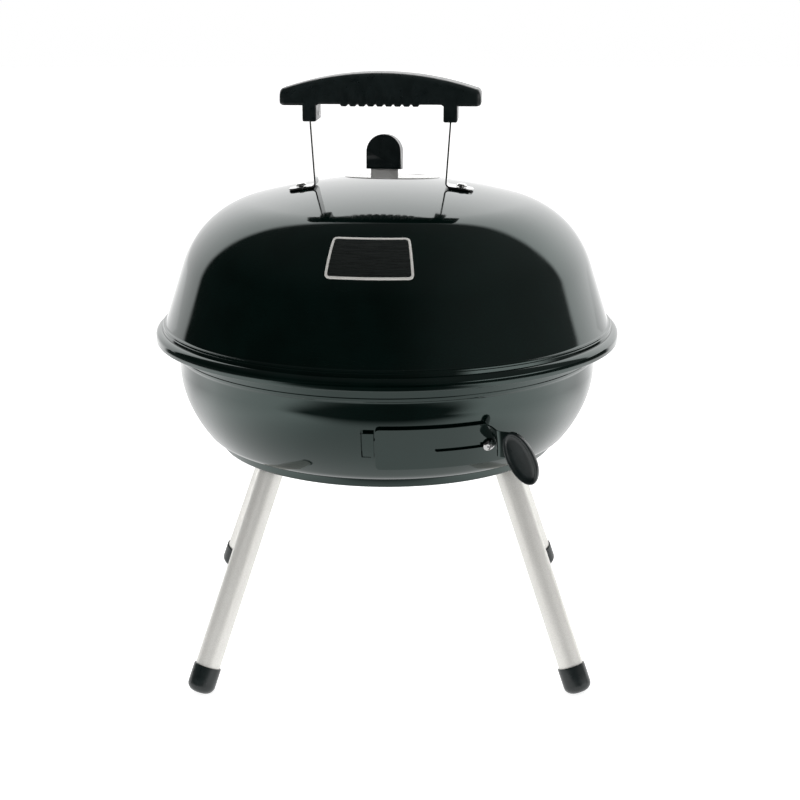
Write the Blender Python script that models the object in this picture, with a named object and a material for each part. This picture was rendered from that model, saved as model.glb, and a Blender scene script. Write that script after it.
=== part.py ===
"""Portable tabletop charcoal grill: lidded kettle on four splayed tube legs.

Metres, +Z up. The origin is on the floor, on the axis of the kettle. The front, with the
nameplate and the bowl damper, faces -Y. Run with: blender --background --python part.py
"""

import math

import bmesh
import bpy
from mathutils import Matrix, Vector

# Kettle, as turned profiles about Z
SEGMENTS = 48
SHEET = 0.0012
RIM_RADIUS = 0.184
RIM_Z = 0.2575
LIP_ROUND = 0.0048
LIP_DEPTH = 0.0045

CROWN_TOP = 0.37526
CROWN_RADIUS = 0.4327
SHOULDER_RADIUS = 0.07515
SHOULDER_R = 0.08945
WALL_LEAN = 0.320
WALL_FOOT_Z = 0.267
LEDGE_FILLET = 0.0015

BOWL_RADIUS = 0.1658
BOWL_WAIST_Z = 0.23035
BOWL_DEPTH = 0.11593
BOWL_POWER = 1.892
BOWL_FLOOR = 0.1668
BOWL_SIDE_START = 0.180
HEEL_RADIUS = 0.018
HEEL_END = -75.0
BASE_RADIUS = 0.135
BASE_ROUND = 0.0015
FLARE_Z = 0.2398
FLARE_LEAN = math.radians(14.0)
BOWL_RIM_FILLET = 0.005
BOWL_RIM_UNDER = 0.2589
BOWL_RIM_RADIUS = 0.1803

# Legs: straight tubes, splayed outwards
FOOT_X = 0.146
FOOT_Y = 0.132
LEG_SHIFT = 0.0018
LEAN_X = 0.3412
LEAN_Y = 0.3264
LEG_RADIUS = 0.0095
LEG_WALL = 0.0012
LEG_SEAT = 0.1898
LEG_START = 0.0065
SEAT_RADIUS = 0.0112
CAP_RADIUS = 0.0106
CAP_TOP = 0.0215
CAP_END = 0.0004
CAP_ROUND = 0.0065
BOLT_RADIUS = 0.003
CLEARANCE = 0.0003
NUT_GAP = 0.0011

# Bowl damper, a curved strip that slides round the bowl
STRIP_STAND_OFF = 0.0011
STRIP_SHEET = 0.001
STRIP_LEFT = -3.0
TONGUE_LEFT = -4.7
SLOT_LEFT = 12.2
SLOT_MIDDLE_Z = 0.2038
SLOT_HALF = 0.0023
STRIP_TOP = 0.221
STRIP_BOTTOM = 0.1875
STRIP_NEAR_Z = 0.2045
SCREW_AZIMUTH = 26.9
VENT_AZIMUTHS = (0.0, 4.1, 8.2)
VENT_Z = 0.205
VENT_RADIUS = 0.005
LUG_CORNER = (0.0784, -0.1583)
LUG_TURN = math.radians(-20.0)
LUG_REACH = 0.0150
PADDLE_REACH = 0.0178
PADDLE_Z = 0.1990
PADDLE_HALF_WIDTH = 0.0104
PADDLE_HALF_LENGTH = 0.0205
PADDLE_TILT = math.radians(27.8)
PADDLE_THICK = 0.005

# Lid fittings; the lid sits a few degrees round, so its fittings do too
LID_TURN = math.radians(-4.7)
HANDLE_CENTRE = (-0.0045, -0.016)
STRAP_SHEET = 0.0012
STRAP_WIDTH = 0.018
STRAP_BASE_X = 0.0505
STRAP_TOP_X = 0.0535
FOOT_LENGTH = 0.021
STRAP_TOP_Z = 0.4315
GRIP_HALF = 0.0765
GRIP_DEPTH = 0.030
GRIP_TOP = 0.459
GRIP_END_TOP = 0.4475
GRIP_UNDER = 0.4345
POST_BOTTOM = 0.4225
POST_WIDTH = 0.0106
RIB_COUNT = 9
RIB_PITCH = 0.0068
RIB_DEPTH = 0.0016

VENT_CENTRE = (0.0045, 0.036)
VENT_DISC_RADIUS = 0.0385
VENT_DISC_GAP = 0.0009
VENT_SHEET = 0.001
VENT_HOLE_RADIUS = 0.006
VENT_HOLE_ORBIT = 0.022
TAB_AZIMUTH = math.radians(-10.0)
TAB_WIDTH = 0.0215
TAB_TOP = 0.0198
KNOB_BOTTOM = 0.0068
KNOB_TOP = 0.0336
KNOB_HALF = 0.0135
KNOB_DEPTH = 0.012

PLATE_AZIMUTH = -4.7
PLATE_SPAN = 11.7
PLATE_LOW = 0.3255
PLATE_HIGH = 0.3505

# Grates
WIRE_RADIUS = 0.0025
COOKING_RADIUS = 0.160
COOKING_Z = 0.2461
COOKING_PITCH = 0.020
CHARCOAL_RADIUS = 0.1458
CHARCOAL_Z = 0.1885
CHARCOAL_PITCH = 0.028
CLIP_LEDGE_Z = 0.2418


# ---------------------------------------------------------------- materials and objects

def material(name, colour, roughness, metallic):
    """A Principled material in one colour."""
    made = bpy.data.materials.new(name)
    made.use_nodes = True
    shader = made.node_tree.nodes["Principled BSDF"]
    shader.inputs["Base Color"].default_value = (*colour, 1.0)
    shader.inputs["Roughness"].default_value = roughness
    shader.inputs["Metallic"].default_value = metallic
    return made


def add_object(name, bm, finish, parent=None):
    """A linked object from a bmesh, faces pointing out, round parts shaded smooth."""
    bmesh.ops.recalc_face_normals(bm, faces=bm.faces)
    mesh = bpy.data.meshes.new(name)
    bm.to_mesh(mesh)
    bm.free()
    mesh.shade_smooth()
    mesh.set_sharp_from_angle(angle=math.radians(30.0))
    if finish:
        mesh.materials.append(finish)
    made = bpy.data.objects.new(name, mesh)
    bpy.context.collection.objects.link(made)
    made.parent = parent
    return made


def add_axis(name, location, axis=(0.0, 0.0, 1.0)):
    """An empty on a joint's axis, its Z along the axis."""
    empty = bpy.data.objects.new(name, None)
    bpy.context.collection.objects.link(empty)
    empty.location = location
    empty.rotation_mode = "QUATERNION"
    empty.rotation_quaternion = Vector((0.0, 0.0, 1.0)).rotation_difference(Vector(axis))
    return empty


def aim(made, location, axis, spin=0.0):
    """Puts an object's origin at location with its local Z along axis."""
    turn = Vector((0.0, 0.0, 1.0)).rotation_difference(Vector(axis).normalized())
    made.rotation_mode = "QUATERNION"
    made.rotation_quaternion = turn @ Matrix.Rotation(spin, 3, "Z").to_quaternion()
    made.location = location


def boolean(target, tool, operation):
    """Applies an exact boolean with a tool object, then removes the tool."""
    cut = target.modifiers.new("cut", "BOOLEAN")
    cut.operation = operation
    cut.solver = "EXACT"
    cut.object = tool
    apply_modifiers(target)
    bpy.data.objects.remove(tool)


def apply_modifiers(target):
    """Replaces an object's mesh by its evaluated one."""
    bpy.context.view_layer.update()
    depsgraph = bpy.context.evaluated_depsgraph_get()
    mesh = bpy.data.meshes.new_from_object(target.evaluated_get(depsgraph))
    mesh.name = target.name
    target.modifiers.clear()
    target.data = mesh
    mesh.shade_smooth()
    mesh.set_sharp_from_angle(angle=math.radians(30.0))


# ---------------------------------------------------------------- shapes

def arc(centre, radius, start, end, steps):
    """Points along an arc in the (r, z) plane, angles in degrees from +r."""
    angles = [math.radians(start + (end - start) * i / steps) for i in range(steps + 1)]
    return [(centre[0] + radius * math.cos(a), centre[1] + radius * math.sin(a)) for a in angles]


def offset_line(points, distance):
    """A line moved sideways, to the left of its direction; ends on the axis stay on it."""
    moved = []
    for i, (r, z) in enumerate(points):
        before = points[max(i - 1, 0)]
        after = points[min(i + 1, len(points) - 1)]
        into = Vector((r - before[0], z - before[1]))
        out = Vector((after[0] - r, after[1] - z))
        into = into.normalized() if into.length > 0.0 else out.normalized()
        out = out.normalized() if out.length > 0.0 else into
        middle = (into + out).normalized()
        reach = distance / max(middle.dot(into), 0.5)
        moved.append((max(r - middle.y * reach, 0.0), z + middle.x * reach))
    return moved


def turned(outline, segments=SEGMENTS):
    """A closed solid of revolution about Z from a closed (r, z) outline."""
    bm = bmesh.new()
    rings = []
    for r, z in outline:
        if r < 1e-7:
            rings.append([bm.verts.new((0.0, 0.0, z))])
            continue
        angles = [2.0 * math.pi * k / segments for k in range(segments)]
        rings.append([bm.verts.new((r * math.cos(a), r * math.sin(a), z)) for a in angles])
    for one, two in zip(rings, rings[1:] + rings[:1]):
        if len(one) == 1 and len(two) == 1:
            continue
        for k in range(segments):
            n = (k + 1) % segments
            corners = [one[k % len(one)], one[n % len(one)], two[n % len(two)], two[k % len(two)]]
            bm.faces.new(list(dict.fromkeys(corners)))
    return bm


def cylinder(radius, low, high, segments=24):
    """A solid rod along Z."""
    return turned([(0.0, low), (radius, low), (radius, high), (0.0, high)], segments)


def box(size_x, size_y, size_z, centre=(0.0, 0.0, 0.0)):
    """A rectangular block."""
    bm = bmesh.new()
    scale = Matrix.Diagonal((size_x, size_y, size_z, 1.0))
    bmesh.ops.create_cube(bm, size=1.0, matrix=Matrix.Translation(centre) @ scale)
    return bm


def prism(outline, depth):
    """An (x, z) outline drawn out along Y, centred on y = 0."""
    bm = bmesh.new()
    front = [bm.verts.new((x, -depth / 2.0, z)) for x, z in outline]
    back = [bm.verts.new((x, depth / 2.0, z)) for x, z in outline]
    bm.faces.new(front)
    bm.faces.new(list(reversed(back)))
    count = len(outline)
    for i in range(count):
        n = (i + 1) % count
        bm.faces.new((front[n], front[i], back[i], back[n]))
    return bm


def merged(*parts):
    """Several bmeshes as one, each still its own body."""
    bm = parts[0]
    for part in parts[1:]:
        verts = {v: bm.verts.new(v.co) for v in part.verts}
        for face in part.faces:
            bm.faces.new([verts[v] for v in face.verts])
        part.free()
    return bm


def sheet_grid(name, rows, keep, thickness, finish, parent=None):
    """Sheet metal from a grid of mid-surface points, with a cell only where keep says so."""
    bm = bmesh.new()
    verts = [[bm.verts.new(p) for p in row] for row in rows]
    for i in range(len(rows) - 1):
        for j in range(len(rows[0]) - 1):
            if keep(i, j):
                bm.faces.new((verts[i][j], verts[i][j + 1], verts[i + 1][j + 1], verts[i + 1][j]))
    loose = [v for v in bm.verts if not v.link_faces]
    bmesh.ops.delete(bm, geom=loose, context="VERTS")
    made = add_object(name, bm, finish, parent)
    solid = made.modifiers.new("sheet", "SOLIDIFY")
    solid.thickness = thickness
    solid.offset = 0.0
    solid.use_even_offset = True
    apply_modifiers(made)
    return made


# ---------------------------------------------------------------- kettle profiles

def bowl_radius(z):
    """The bowl's outer radius at a height on its side."""
    drop = max(BOWL_WAIST_Z - z, 0.0) / BOWL_DEPTH
    return BOWL_RADIUS * (1.0 - drop ** BOWL_POWER) ** (1.0 / BOWL_POWER)


def bowl_normal(z):
    """Outward normal (r, z) of the bowl's side at a height."""
    step = 0.0005
    slope = (bowl_radius(z + step) - bowl_radius(z - step)) / (2.0 * step)
    return Vector((1.0, -slope)).normalized()


def bowl_point(azimuth, z, offset=0.0):
    """A point off the bowl's side; azimuth in degrees from -Y towards +X."""
    normal = bowl_normal(z)
    r = bowl_radius(z) + normal.x * offset
    angle = math.radians(azimuth)
    return Vector((r * math.sin(angle), -r * math.cos(angle), z + normal.y * offset))


def bowl_line():
    """The bowl's outer line, from the middle of its floor to the edge of its rim."""
    line = [(0.0, BOWL_FLOOR)]
    line += arc((BASE_RADIUS - BASE_ROUND, BOWL_FLOOR + BASE_ROUND), BASE_ROUND, -90.0, 0.0, 2)
    normal = bowl_normal(BOWL_SIDE_START)
    start_r = bowl_radius(BOWL_SIDE_START)
    centre = (start_r - HEEL_RADIUS * normal.x, BOWL_SIDE_START - HEEL_RADIUS * normal.y)
    heel = arc(centre, HEEL_RADIUS, HEEL_END, math.degrees(math.atan2(normal.y, normal.x)), 3)
    line.append((BASE_RADIUS, heel[0][1] - 0.0006))
    line += heel[:-1]
    start = math.asin(((BOWL_WAIST_Z - BOWL_SIDE_START) / BOWL_DEPTH) ** (BOWL_POWER / 2.0))
    steps = 6
    for i in range(steps + 1):
        t = start * (1.0 - i / steps)
        line.append((BOWL_RADIUS * math.cos(t) ** (2.0 / BOWL_POWER),
                     BOWL_WAIST_Z - BOWL_DEPTH * math.sin(t) ** (2.0 / BOWL_POWER)))
    line.append((BOWL_RADIUS, FLARE_Z))
    flare_top = BOWL_RIM_UNDER - BOWL_RIM_FILLET * (1.0 - math.sin(FLARE_LEAN))
    flare_r = BOWL_RADIUS + (flare_top - FLARE_Z) * math.tan(FLARE_LEAN)
    fillet = (flare_r + BOWL_RIM_FILLET * math.cos(FLARE_LEAN), BOWL_RIM_UNDER - BOWL_RIM_FILLET)
    line += arc(fillet, BOWL_RIM_FILLET, 180.0 - math.degrees(FLARE_LEAN), 90.0, 2)
    lip = (BOWL_RIM_RADIUS - 0.002, BOWL_RIM_UNDER - 0.002)
    line += arc(lip, 0.002, 90.0, 0.0, 1)
    line.append((BOWL_RIM_RADIUS, BOWL_RIM_UNDER - 0.003))
    return line


def lid_line():
    """The lid's outer line, from the middle of its crown to the lower edge of its lip."""
    crown_z = CROWN_TOP - CROWN_RADIUS
    reach = CROWN_RADIUS - SHOULDER_RADIUS
    shoulder_z = crown_z + math.sqrt(reach ** 2 - SHOULDER_R ** 2)
    join = math.degrees(math.atan2(shoulder_z - crown_z, SHOULDER_R))
    line = arc((0.0, crown_z), CROWN_RADIUS, 90.0, join, 4)
    line[0] = (0.0, CROWN_TOP)
    lean = math.degrees(WALL_LEAN)
    shoulder = arc((SHOULDER_R, shoulder_z), SHOULDER_RADIUS, join, lean, 5)
    line += shoulder[1:]
    foot_r = shoulder[-1][0] + (shoulder[-1][1] - WALL_FOOT_Z) * math.tan(WALL_LEAN)
    fillet = (foot_r + LEDGE_FILLET * math.cos(WALL_LEAN), WALL_FOOT_Z + LEDGE_FILLET * math.sin(WALL_LEAN))
    line += arc(fillet, LEDGE_FILLET, 180.0 + lean, 285.0, 1)
    line += arc((RIM_RADIUS - LIP_ROUND, RIM_Z), LIP_ROUND, 90.0, 0.0, 2)
    line.append((RIM_RADIUS, RIM_Z - LIP_DEPTH))
    return line


def crown_point(x, y, offset=0.0):
    """A point above the lid's crown at a plan position, and the outward normal there."""
    centre = Vector((0.0, 0.0, CROWN_TOP - CROWN_RADIUS))
    height = math.sqrt(CROWN_RADIUS ** 2 - x * x - y * y)
    normal = Vector((x, y, height)) / CROWN_RADIUS
    return centre + normal * (CROWN_RADIUS + offset), normal


# ---------------------------------------------------------------- bowl and legs

def leg_frames():
    """Name, foot centre and upward axis of each leg."""
    frames = []
    for side_x, word_x in ((-1.0, "left"), (1.0, "right")):
        for side_y, word_y in ((-1.0, "front"), (1.0, "rear")):
            axis = Vector((-side_x * LEAN_X, -side_y * LEAN_Y, 1.0)).normalized()
            foot = Vector((side_x * FOOT_X + LEG_SHIFT, side_y * FOOT_Y, 0.0))
            frames.append((f"{word_y}_{word_x}", foot, axis))
    return frames


def leg_rods(radius, low, high, segments=20):
    """One rod on each leg's axis, all in one tool object."""
    rods = []
    for _, foot, axis in leg_frames():
        rod = cylinder(radius, low, high, segments)
        turn = Vector((0.0, 0.0, 1.0)).rotation_difference(axis).to_matrix().to_4x4()
        bmesh.ops.transform(rod, matrix=Matrix.Translation(foot) @ turn, verts=rod.verts)
        rods.append(rod)
    return add_object("tool_legs", merged(*rods), None)


def make_bowl(enamel):
    """The bowl, with a flat seat pressed in square to each leg."""
    outer = bowl_line()
    inner = offset_line(outer, SHEET)
    bowl = add_object("bowl", turned(outer + inner[::-1]), enamel)

    middle = offset_line(outer, SHEET / 2.0)
    side = [p for p in middle if p[1] < BOWL_WAIST_Z]
    core = add_object("tool_core", turned(side + [(0.0, side[-1][1])]), None)
    cups = leg_rods(SEAT_RADIUS + SHEET, 0.150, LEG_SEAT + SHEET)
    boolean(cups, core, "INTERSECT")
    boolean(bowl, cups, "UNION")
    boolean(bowl, leg_rods(SEAT_RADIUS, 0.150, LEG_SEAT), "DIFFERENCE")
    boolean(bowl, leg_rods(BOLT_RADIUS + CLEARANCE, LEG_SEAT - 0.005, LEG_SEAT + 0.005, 12), "DIFFERENCE")

    for azimuth in VENT_AZIMUTHS:
        boolean(bowl, radial_tool(azimuth, VENT_Z, VENT_RADIUS, 12), "DIFFERENCE")
    boolean(bowl, radial_tool(SCREW_AZIMUTH, SLOT_MIDDLE_Z, 0.0022, 12), "DIFFERENCE")
    return bowl


def radial_tool(azimuth, z, radius, segments):
    """A rod square to the bowl's side, to cut a round hole."""
    tool = add_object("tool_hole", cylinder(radius, -0.006, 0.006, segments), None)
    aim(tool, bowl_point(azimuth, z), bowl_axis(azimuth, z))
    return tool


def bowl_axis(azimuth, z):
    """The bowl's outward normal in space."""
    return (bowl_point(azimuth, z, 0.01) - bowl_point(azimuth, z)).normalized()


def make_leg(word, foot, axis, silver, plastic, zinc):
    """One leg: tube, end cap, threaded insert, bolt and washer."""
    top = LEG_SEAT - CLEARANCE
    bore = LEG_RADIUS - LEG_WALL
    tube = turned([(bore, LEG_START), (LEG_RADIUS, LEG_START), (LEG_RADIUS, top), (bore, top)], 20)
    aim(add_object(f"leg_{word}", tube, silver), foot, axis)

    socket = LEG_RADIUS + CLEARANCE
    floor = LEG_START - CLEARANCE
    outline = [(0.0, CAP_END)]
    outline += arc((CAP_RADIUS - CAP_ROUND, CAP_END + CAP_ROUND), CAP_ROUND, -90.0, 0.0, 3)
    outline += [(CAP_RADIUS, CAP_TOP), (socket, CAP_TOP), (socket, floor), (0.0, floor)]
    cap = add_object(f"leg_cap_{word}", turned(outline, 20), plastic)
    aim(cap, foot, axis)
    ground = add_object("tool_floor", box(0.1, 0.1, 0.02, (foot.x, foot.y, -0.01)), None)
    boolean(cap, ground, "DIFFERENCE")

    length = 0.016
    hole = BOLT_RADIUS + CLEARANCE
    wide = bore - CLEARANCE
    ring = [(hole, top - length), (wide, top - length), (wide, top - CLEARANCE), (hole, top - CLEARANCE)]
    aim(add_object(f"leg_insert_{word}", turned(ring, 12), zinc), foot, axis)

    washer_low = LEG_SEAT + SHEET + CLEARANCE
    washer_high = washer_low + 0.0012
    ring = [(hole, washer_low), (0.008, washer_low), (0.008, washer_high), (hole, washer_high)]
    aim(add_object(f"leg_washer_{word}", turned(ring, 12), zinc), foot, axis)

    head = washer_high + CLEARANCE
    outline = [(0.0, head - 0.021), (BOLT_RADIUS, head - 0.021), (BOLT_RADIUS, head), (0.0058, head)]
    outline += [(0.0058, head + 0.0018), (0.0042, head + 0.0032), (0.0, head + 0.0036)]
    aim(add_object(f"leg_bolt_{word}", turned(outline, 12), zinc), foot, axis)


# ---------------------------------------------------------------- bowl damper

def strip_edge(z):
    """The azimuth of the strip's slanted right-hand edge."""
    share = (STRIP_TOP - z) / (STRIP_TOP - STRIP_BOTTOM)
    return 25.5 + 8.5 * share


def strip_point(azimuth, z, offset=0.0):
    """A point on the strip's middle, a cone that touches off the bowl at the slot's height."""
    normal = bowl_normal(STRIP_NEAR_Z)
    r = bowl_radius(STRIP_NEAR_Z) - (z - STRIP_NEAR_Z) * normal.y / normal.x
    out = STRIP_STAND_OFF + offset
    angle = math.radians(azimuth)
    r += normal.x * out
    return Vector((r * math.sin(angle), -r * math.cos(angle), z + normal.y * out))


def make_damper_slide(enamel, axis_empty):
    """The strip with its slot and tongue, and the lug bent out at its right end."""
    heights = [STRIP_BOTTOM, 0.1930, 0.1985, SLOT_MIDDLE_Z - SLOT_HALF, SLOT_MIDDLE_Z + SLOT_HALF]
    heights += [0.2118, 0.2175, STRIP_TOP]
    plain = [TONGUE_LEFT, -3.8, STRIP_LEFT, 0.0, 3.0, 6.0, 9.0, SLOT_LEFT, 15.0, 18.0, 21.0, 24.0]
    shares = [0.35, 0.66, 0.90]
    turn = Vector((math.cos(LUG_TURN), math.sin(LUG_TURN), 0.0))
    rows = []
    for z in heights:
        azimuths = plain + [24.0 + (strip_edge(z) - 24.0) * s for s in shares]
        row = [strip_point(a, z) for a in azimuths]
        row.append(strip_point(strip_edge(z), z, 0.0009))
        corner = Vector((*LUG_CORNER, z))
        bend = strip_point(strip_edge(z) + 0.3, z, 0.0030)
        row += [bend, bend.lerp(corner, 0.5), corner.lerp(bend, 0.12), corner + turn * 0.0020]
        row += [corner + turn * LUG_REACH * 0.6, corner + turn * LUG_REACH]
        rows.append(row)
    tongue_rows = (3, 4)
    slot_row = 3
    slot_columns = (7, 8, 9, 10, 11, 12)
    lug_rows = (2, 3, 4, 5)
    strip_end = len(plain) + len(shares)

    def keep(i, j):
        if j < 2:
            return i in tongue_rows
        if j >= strip_end:
            return i in lug_rows
        return not (i == slot_row and j in slot_columns)

    return sheet_grid("damper_slide", rows, keep, STRIP_SHEET, enamel, axis_empty)


def make_damper_paddle(plastic, axis_empty):
    """Oval finger plate with a raised rim, pushed over the end of the lug."""
    count = 22
    rings = [(0.0012, 0.0), (0.0, 0.0010), (0.0, PADDLE_THICK - 0.0010), (0.0010, PADDLE_THICK),
             (0.0026, PADDLE_THICK), (0.0036, PADDLE_THICK - 0.0012)]
    bm = bmesh.new()
    loops = []
    for inset, depth in rings:
        loop = []
        for k in range(count):
            a = 2.0 * math.pi * k / count
            x = (PADDLE_HALF_WIDTH - inset) * math.cos(a)
            z = (PADDLE_HALF_LENGTH - inset) * math.sin(a)
            loop.append(bm.verts.new((x, PADDLE_THICK / 2.0 - depth, z)))
        loops.append(loop)
    for one, two in zip(loops, loops[1:]):
        for k in range(count):
            n = (k + 1) % count
            bm.faces.new((one[k], one[n], two[n], two[k]))
    bm.faces.new(loops[0])
    bm.faces.new(loops[-1])
    paddle = add_object("damper_paddle", bm, plastic, axis_empty)
    turn = Vector((math.cos(LUG_TURN), math.sin(LUG_TURN), 0.0))
    corner = Vector((*LUG_CORNER, PADDLE_Z))
    paddle.location = corner + turn * PADDLE_REACH
    spin = Matrix.Rotation(LUG_TURN, 3, "Z") @ Matrix.Rotation(PADDLE_TILT, 3, "Y").inverted()
    paddle.rotation_euler = spin.to_euler()

    low = 0.1985 - CLEARANCE
    high = 0.2175 + CLEARANCE
    reach = LUG_REACH + CLEARANCE
    pocket = box(0.04 + reach, STRIP_SHEET + 2.0 * CLEARANCE, high - low,
                 ((reach - 0.04) / 2.0, 0.0, (high + low) / 2.0))
    tool = add_object("tool_pocket", pocket, None)
    tool.location = (*LUG_CORNER, 0.0)
    tool.rotation_euler = (0.0, 0.0, LUG_TURN)
    boolean(paddle, tool, "DIFFERENCE")
    return paddle


def make_damper_keeper(enamel):
    """A small plate over the strip's tongue, standing off the bowl on a foot below."""
    near, clear = 0.0009, 0.0029
    stations = [(0.1968, near), (0.1982, near), (0.1994, clear), (0.2090, clear), (0.2186, clear)]
    rows = [[bowl_point(a, z, off) for a in (-6.6, -4.95, -3.3)] for z, off in stations]
    return sheet_grid("damper_keeper", rows, lambda i, j: True, 0.001, enamel)


def make_damper_fixing(chrome, zinc):
    """The pan-head screw in the strip's slot and its nut inside the bowl."""
    point = bowl_point(SCREW_AZIMUTH, SLOT_MIDDLE_Z)
    axis = bowl_axis(SCREW_AZIMUTH, SLOT_MIDDLE_Z)
    head = STRIP_STAND_OFF + STRIP_SHEET / 2.0 + CLEARANCE
    outline = [(0.0, -0.0072), (0.0018, -0.0072), (0.0018, head), (0.0048, head)]
    outline += [(0.0048, head + 0.0010), (0.0038, head + 0.0022), (0.0020, head + 0.0028), (0.0, head + 0.0030)]
    screw = add_object("damper_screw", turned(outline, 16), chrome)
    for size_x, size_y in ((0.0050, 0.0010), (0.0010, 0.0050)):
        slot = box(size_x, size_y, 0.0030, (0.0, 0.0, head + 0.0032))
        boolean(screw, add_object("tool_cross", slot, None), "DIFFERENCE")
    aim(screw, point, axis)

    top = -(SHEET + NUT_GAP)
    ring = [(0.0021, top - 0.0030), (0.0040, top - 0.0030), (0.0040, top), (0.0021, top)]
    aim(add_object("damper_nut", turned(ring, 6), zinc), point, axis)


# ---------------------------------------------------------------- lid and its fittings

def make_lid(enamel, lid_axis):
    """The lid, with its vent holes and the holes for the rivet and strap screws."""
    outer = lid_line()
    inner = offset_line(outer, -SHEET)
    lid = add_object("lid", turned(outer + inner[::-1]), enamel, lid_axis)
    centre, normal = crown_point(*VENT_CENTRE)
    for k in range(3):
        angle = TAB_AZIMUTH + math.radians(60.0 + 120.0 * k)
        hole = cylinder(VENT_HOLE_RADIUS, -0.006, 0.006, 12)
        shift = (VENT_HOLE_ORBIT * math.sin(angle), -VENT_HOLE_ORBIT * math.cos(angle), 0.0)
        bmesh.ops.translate(hole, vec=shift, verts=hole.verts)
        tool = add_object("tool_vent", hole, None)
        aim(tool, centre, normal)
        boolean(lid, tool, "DIFFERENCE")
    tool = add_object("tool_rivet", cylinder(0.0027, -0.006, 0.006, 10), None)
    aim(tool, centre, normal)
    boolean(lid, tool, "DIFFERENCE")
    for side in (-1.0, 1.0):
        point, axis = strap_screw_place(side)
        tool = add_object("tool_screw", cylinder(0.0023, -0.006, 0.006, 12), None)
        aim(tool, point, axis)
        boolean(lid, tool, "DIFFERENCE")
    return lid


def handle_to_lid(x, y):
    """Plan position of a point given in the handle's own turned axes."""
    c, s = math.cos(LID_TURN), math.sin(LID_TURN)
    return HANDLE_CENTRE[0] + c * x - s * y, HANDLE_CENTRE[1] + s * x + c * y


def strap_screw_place(side):
    """Where a strap's screw goes through the crown, and the normal there."""
    x, y = handle_to_lid(side * (STRAP_BASE_X + FOOT_LENGTH * 0.55), 0.0)
    return crown_point(x, y)


def make_strap(word, side, steel, lid_axis):
    """A bent strap: a foot on the crown, a tight bend and an upright into the grip's post."""
    lift = 0.0004 + STRAP_SHEET / 2.0
    line = []
    for reach in (FOOT_LENGTH, FOOT_LENGTH * 0.5, 0.0025):
        x, y = handle_to_lid(side * (STRAP_BASE_X + reach), 0.0)
        line.append((side * (STRAP_BASE_X + reach), crown_point(x, y, lift)[0].z))
    line.append((side * (STRAP_BASE_X + 0.0007), line[-1][1] + 0.0007))
    line.append((side * STRAP_BASE_X, line[-1][1] + 0.0022))
    line.append((side * STRAP_TOP_X, POST_BOTTOM - 0.001))
    line.append((side * STRAP_TOP_X, STRAP_TOP_Z))
    rows = []
    for y in (-STRAP_WIDTH / 2.0, STRAP_WIDTH / 2.0):
        rows.append([(*handle_to_lid(x, y), z) for x, z in line])
    strap = sheet_grid(f"strap_{word}", rows, lambda i, j: True, STRAP_SHEET, steel, lid_axis)
    point, axis = strap_screw_place(side)
    tool = add_object("tool_screw", cylinder(0.0023, -0.004, 0.006, 12), None)
    aim(tool, point, axis)
    boolean(strap, tool, "DIFFERENCE")
    boolean(strap, pin_tool(side, 0.0018, 0.012), "DIFFERENCE")
    return strap


def pin_tool(side, radius, length):
    """A rod across a post, for the cross pin's hole, from the post's inner face."""
    rod = cylinder(radius, -length / 2.0, length / 2.0, 12)
    tool = add_object("tool_pin", rod, None)
    x, y = handle_to_lid(side * STRAP_TOP_X, 0.0)
    axis = Vector((math.cos(LID_TURN), math.sin(LID_TURN), 0.0))
    aim(tool, (x, y, POST_BOTTOM + 0.0050), axis)
    return tool


def grip_outline():
    """The grip from the front: arched back, ribbed belly and two posts."""
    rise = GRIP_TOP - GRIP_END_TOP
    run = GRIP_HALF - 0.004
    radius = (run ** 2 + rise ** 2) / (2.0 * rise)
    spread = math.degrees(math.asin(run / radius))
    outline = arc((0.0, GRIP_TOP - radius), radius, 90.0 - spread, 90.0 + spread, 12)
    outline += [(-GRIP_HALF, GRIP_END_TOP - 0.004), (-GRIP_HALF, GRIP_UNDER - 0.001)]
    half = POST_WIDTH / 2.0
    outline += [(-STRAP_TOP_X - half, GRIP_UNDER), (-STRAP_TOP_X - half, POST_BOTTOM)]
    outline += [(-STRAP_TOP_X + half, POST_BOTTOM), (-STRAP_TOP_X + half, GRIP_UNDER - 0.001)]
    outline.append((-STRAP_TOP_X + half + 0.002, GRIP_UNDER + 0.001))
    start = -RIB_COUNT * RIB_PITCH / 2.0
    for k in range(RIB_COUNT):
        left = start + k * RIB_PITCH
        outline += [(left, GRIP_UNDER + 0.001), (left + RIB_PITCH * 0.3, GRIP_UNDER + 0.001 - RIB_DEPTH)]
        outline.append((left + RIB_PITCH * 0.7, GRIP_UNDER + 0.001 - RIB_DEPTH))
    outline.append((-start, GRIP_UNDER + 0.001))
    outline += [(STRAP_TOP_X - half - 0.002, GRIP_UNDER + 0.001), (STRAP_TOP_X - half, GRIP_UNDER - 0.001)]
    outline += [(STRAP_TOP_X - half, POST_BOTTOM), (STRAP_TOP_X + half, POST_BOTTOM)]
    outline += [(STRAP_TOP_X + half, GRIP_UNDER), (GRIP_HALF, GRIP_UNDER - 0.001), (GRIP_HALF, GRIP_END_TOP - 0.004)]
    return outline


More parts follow.
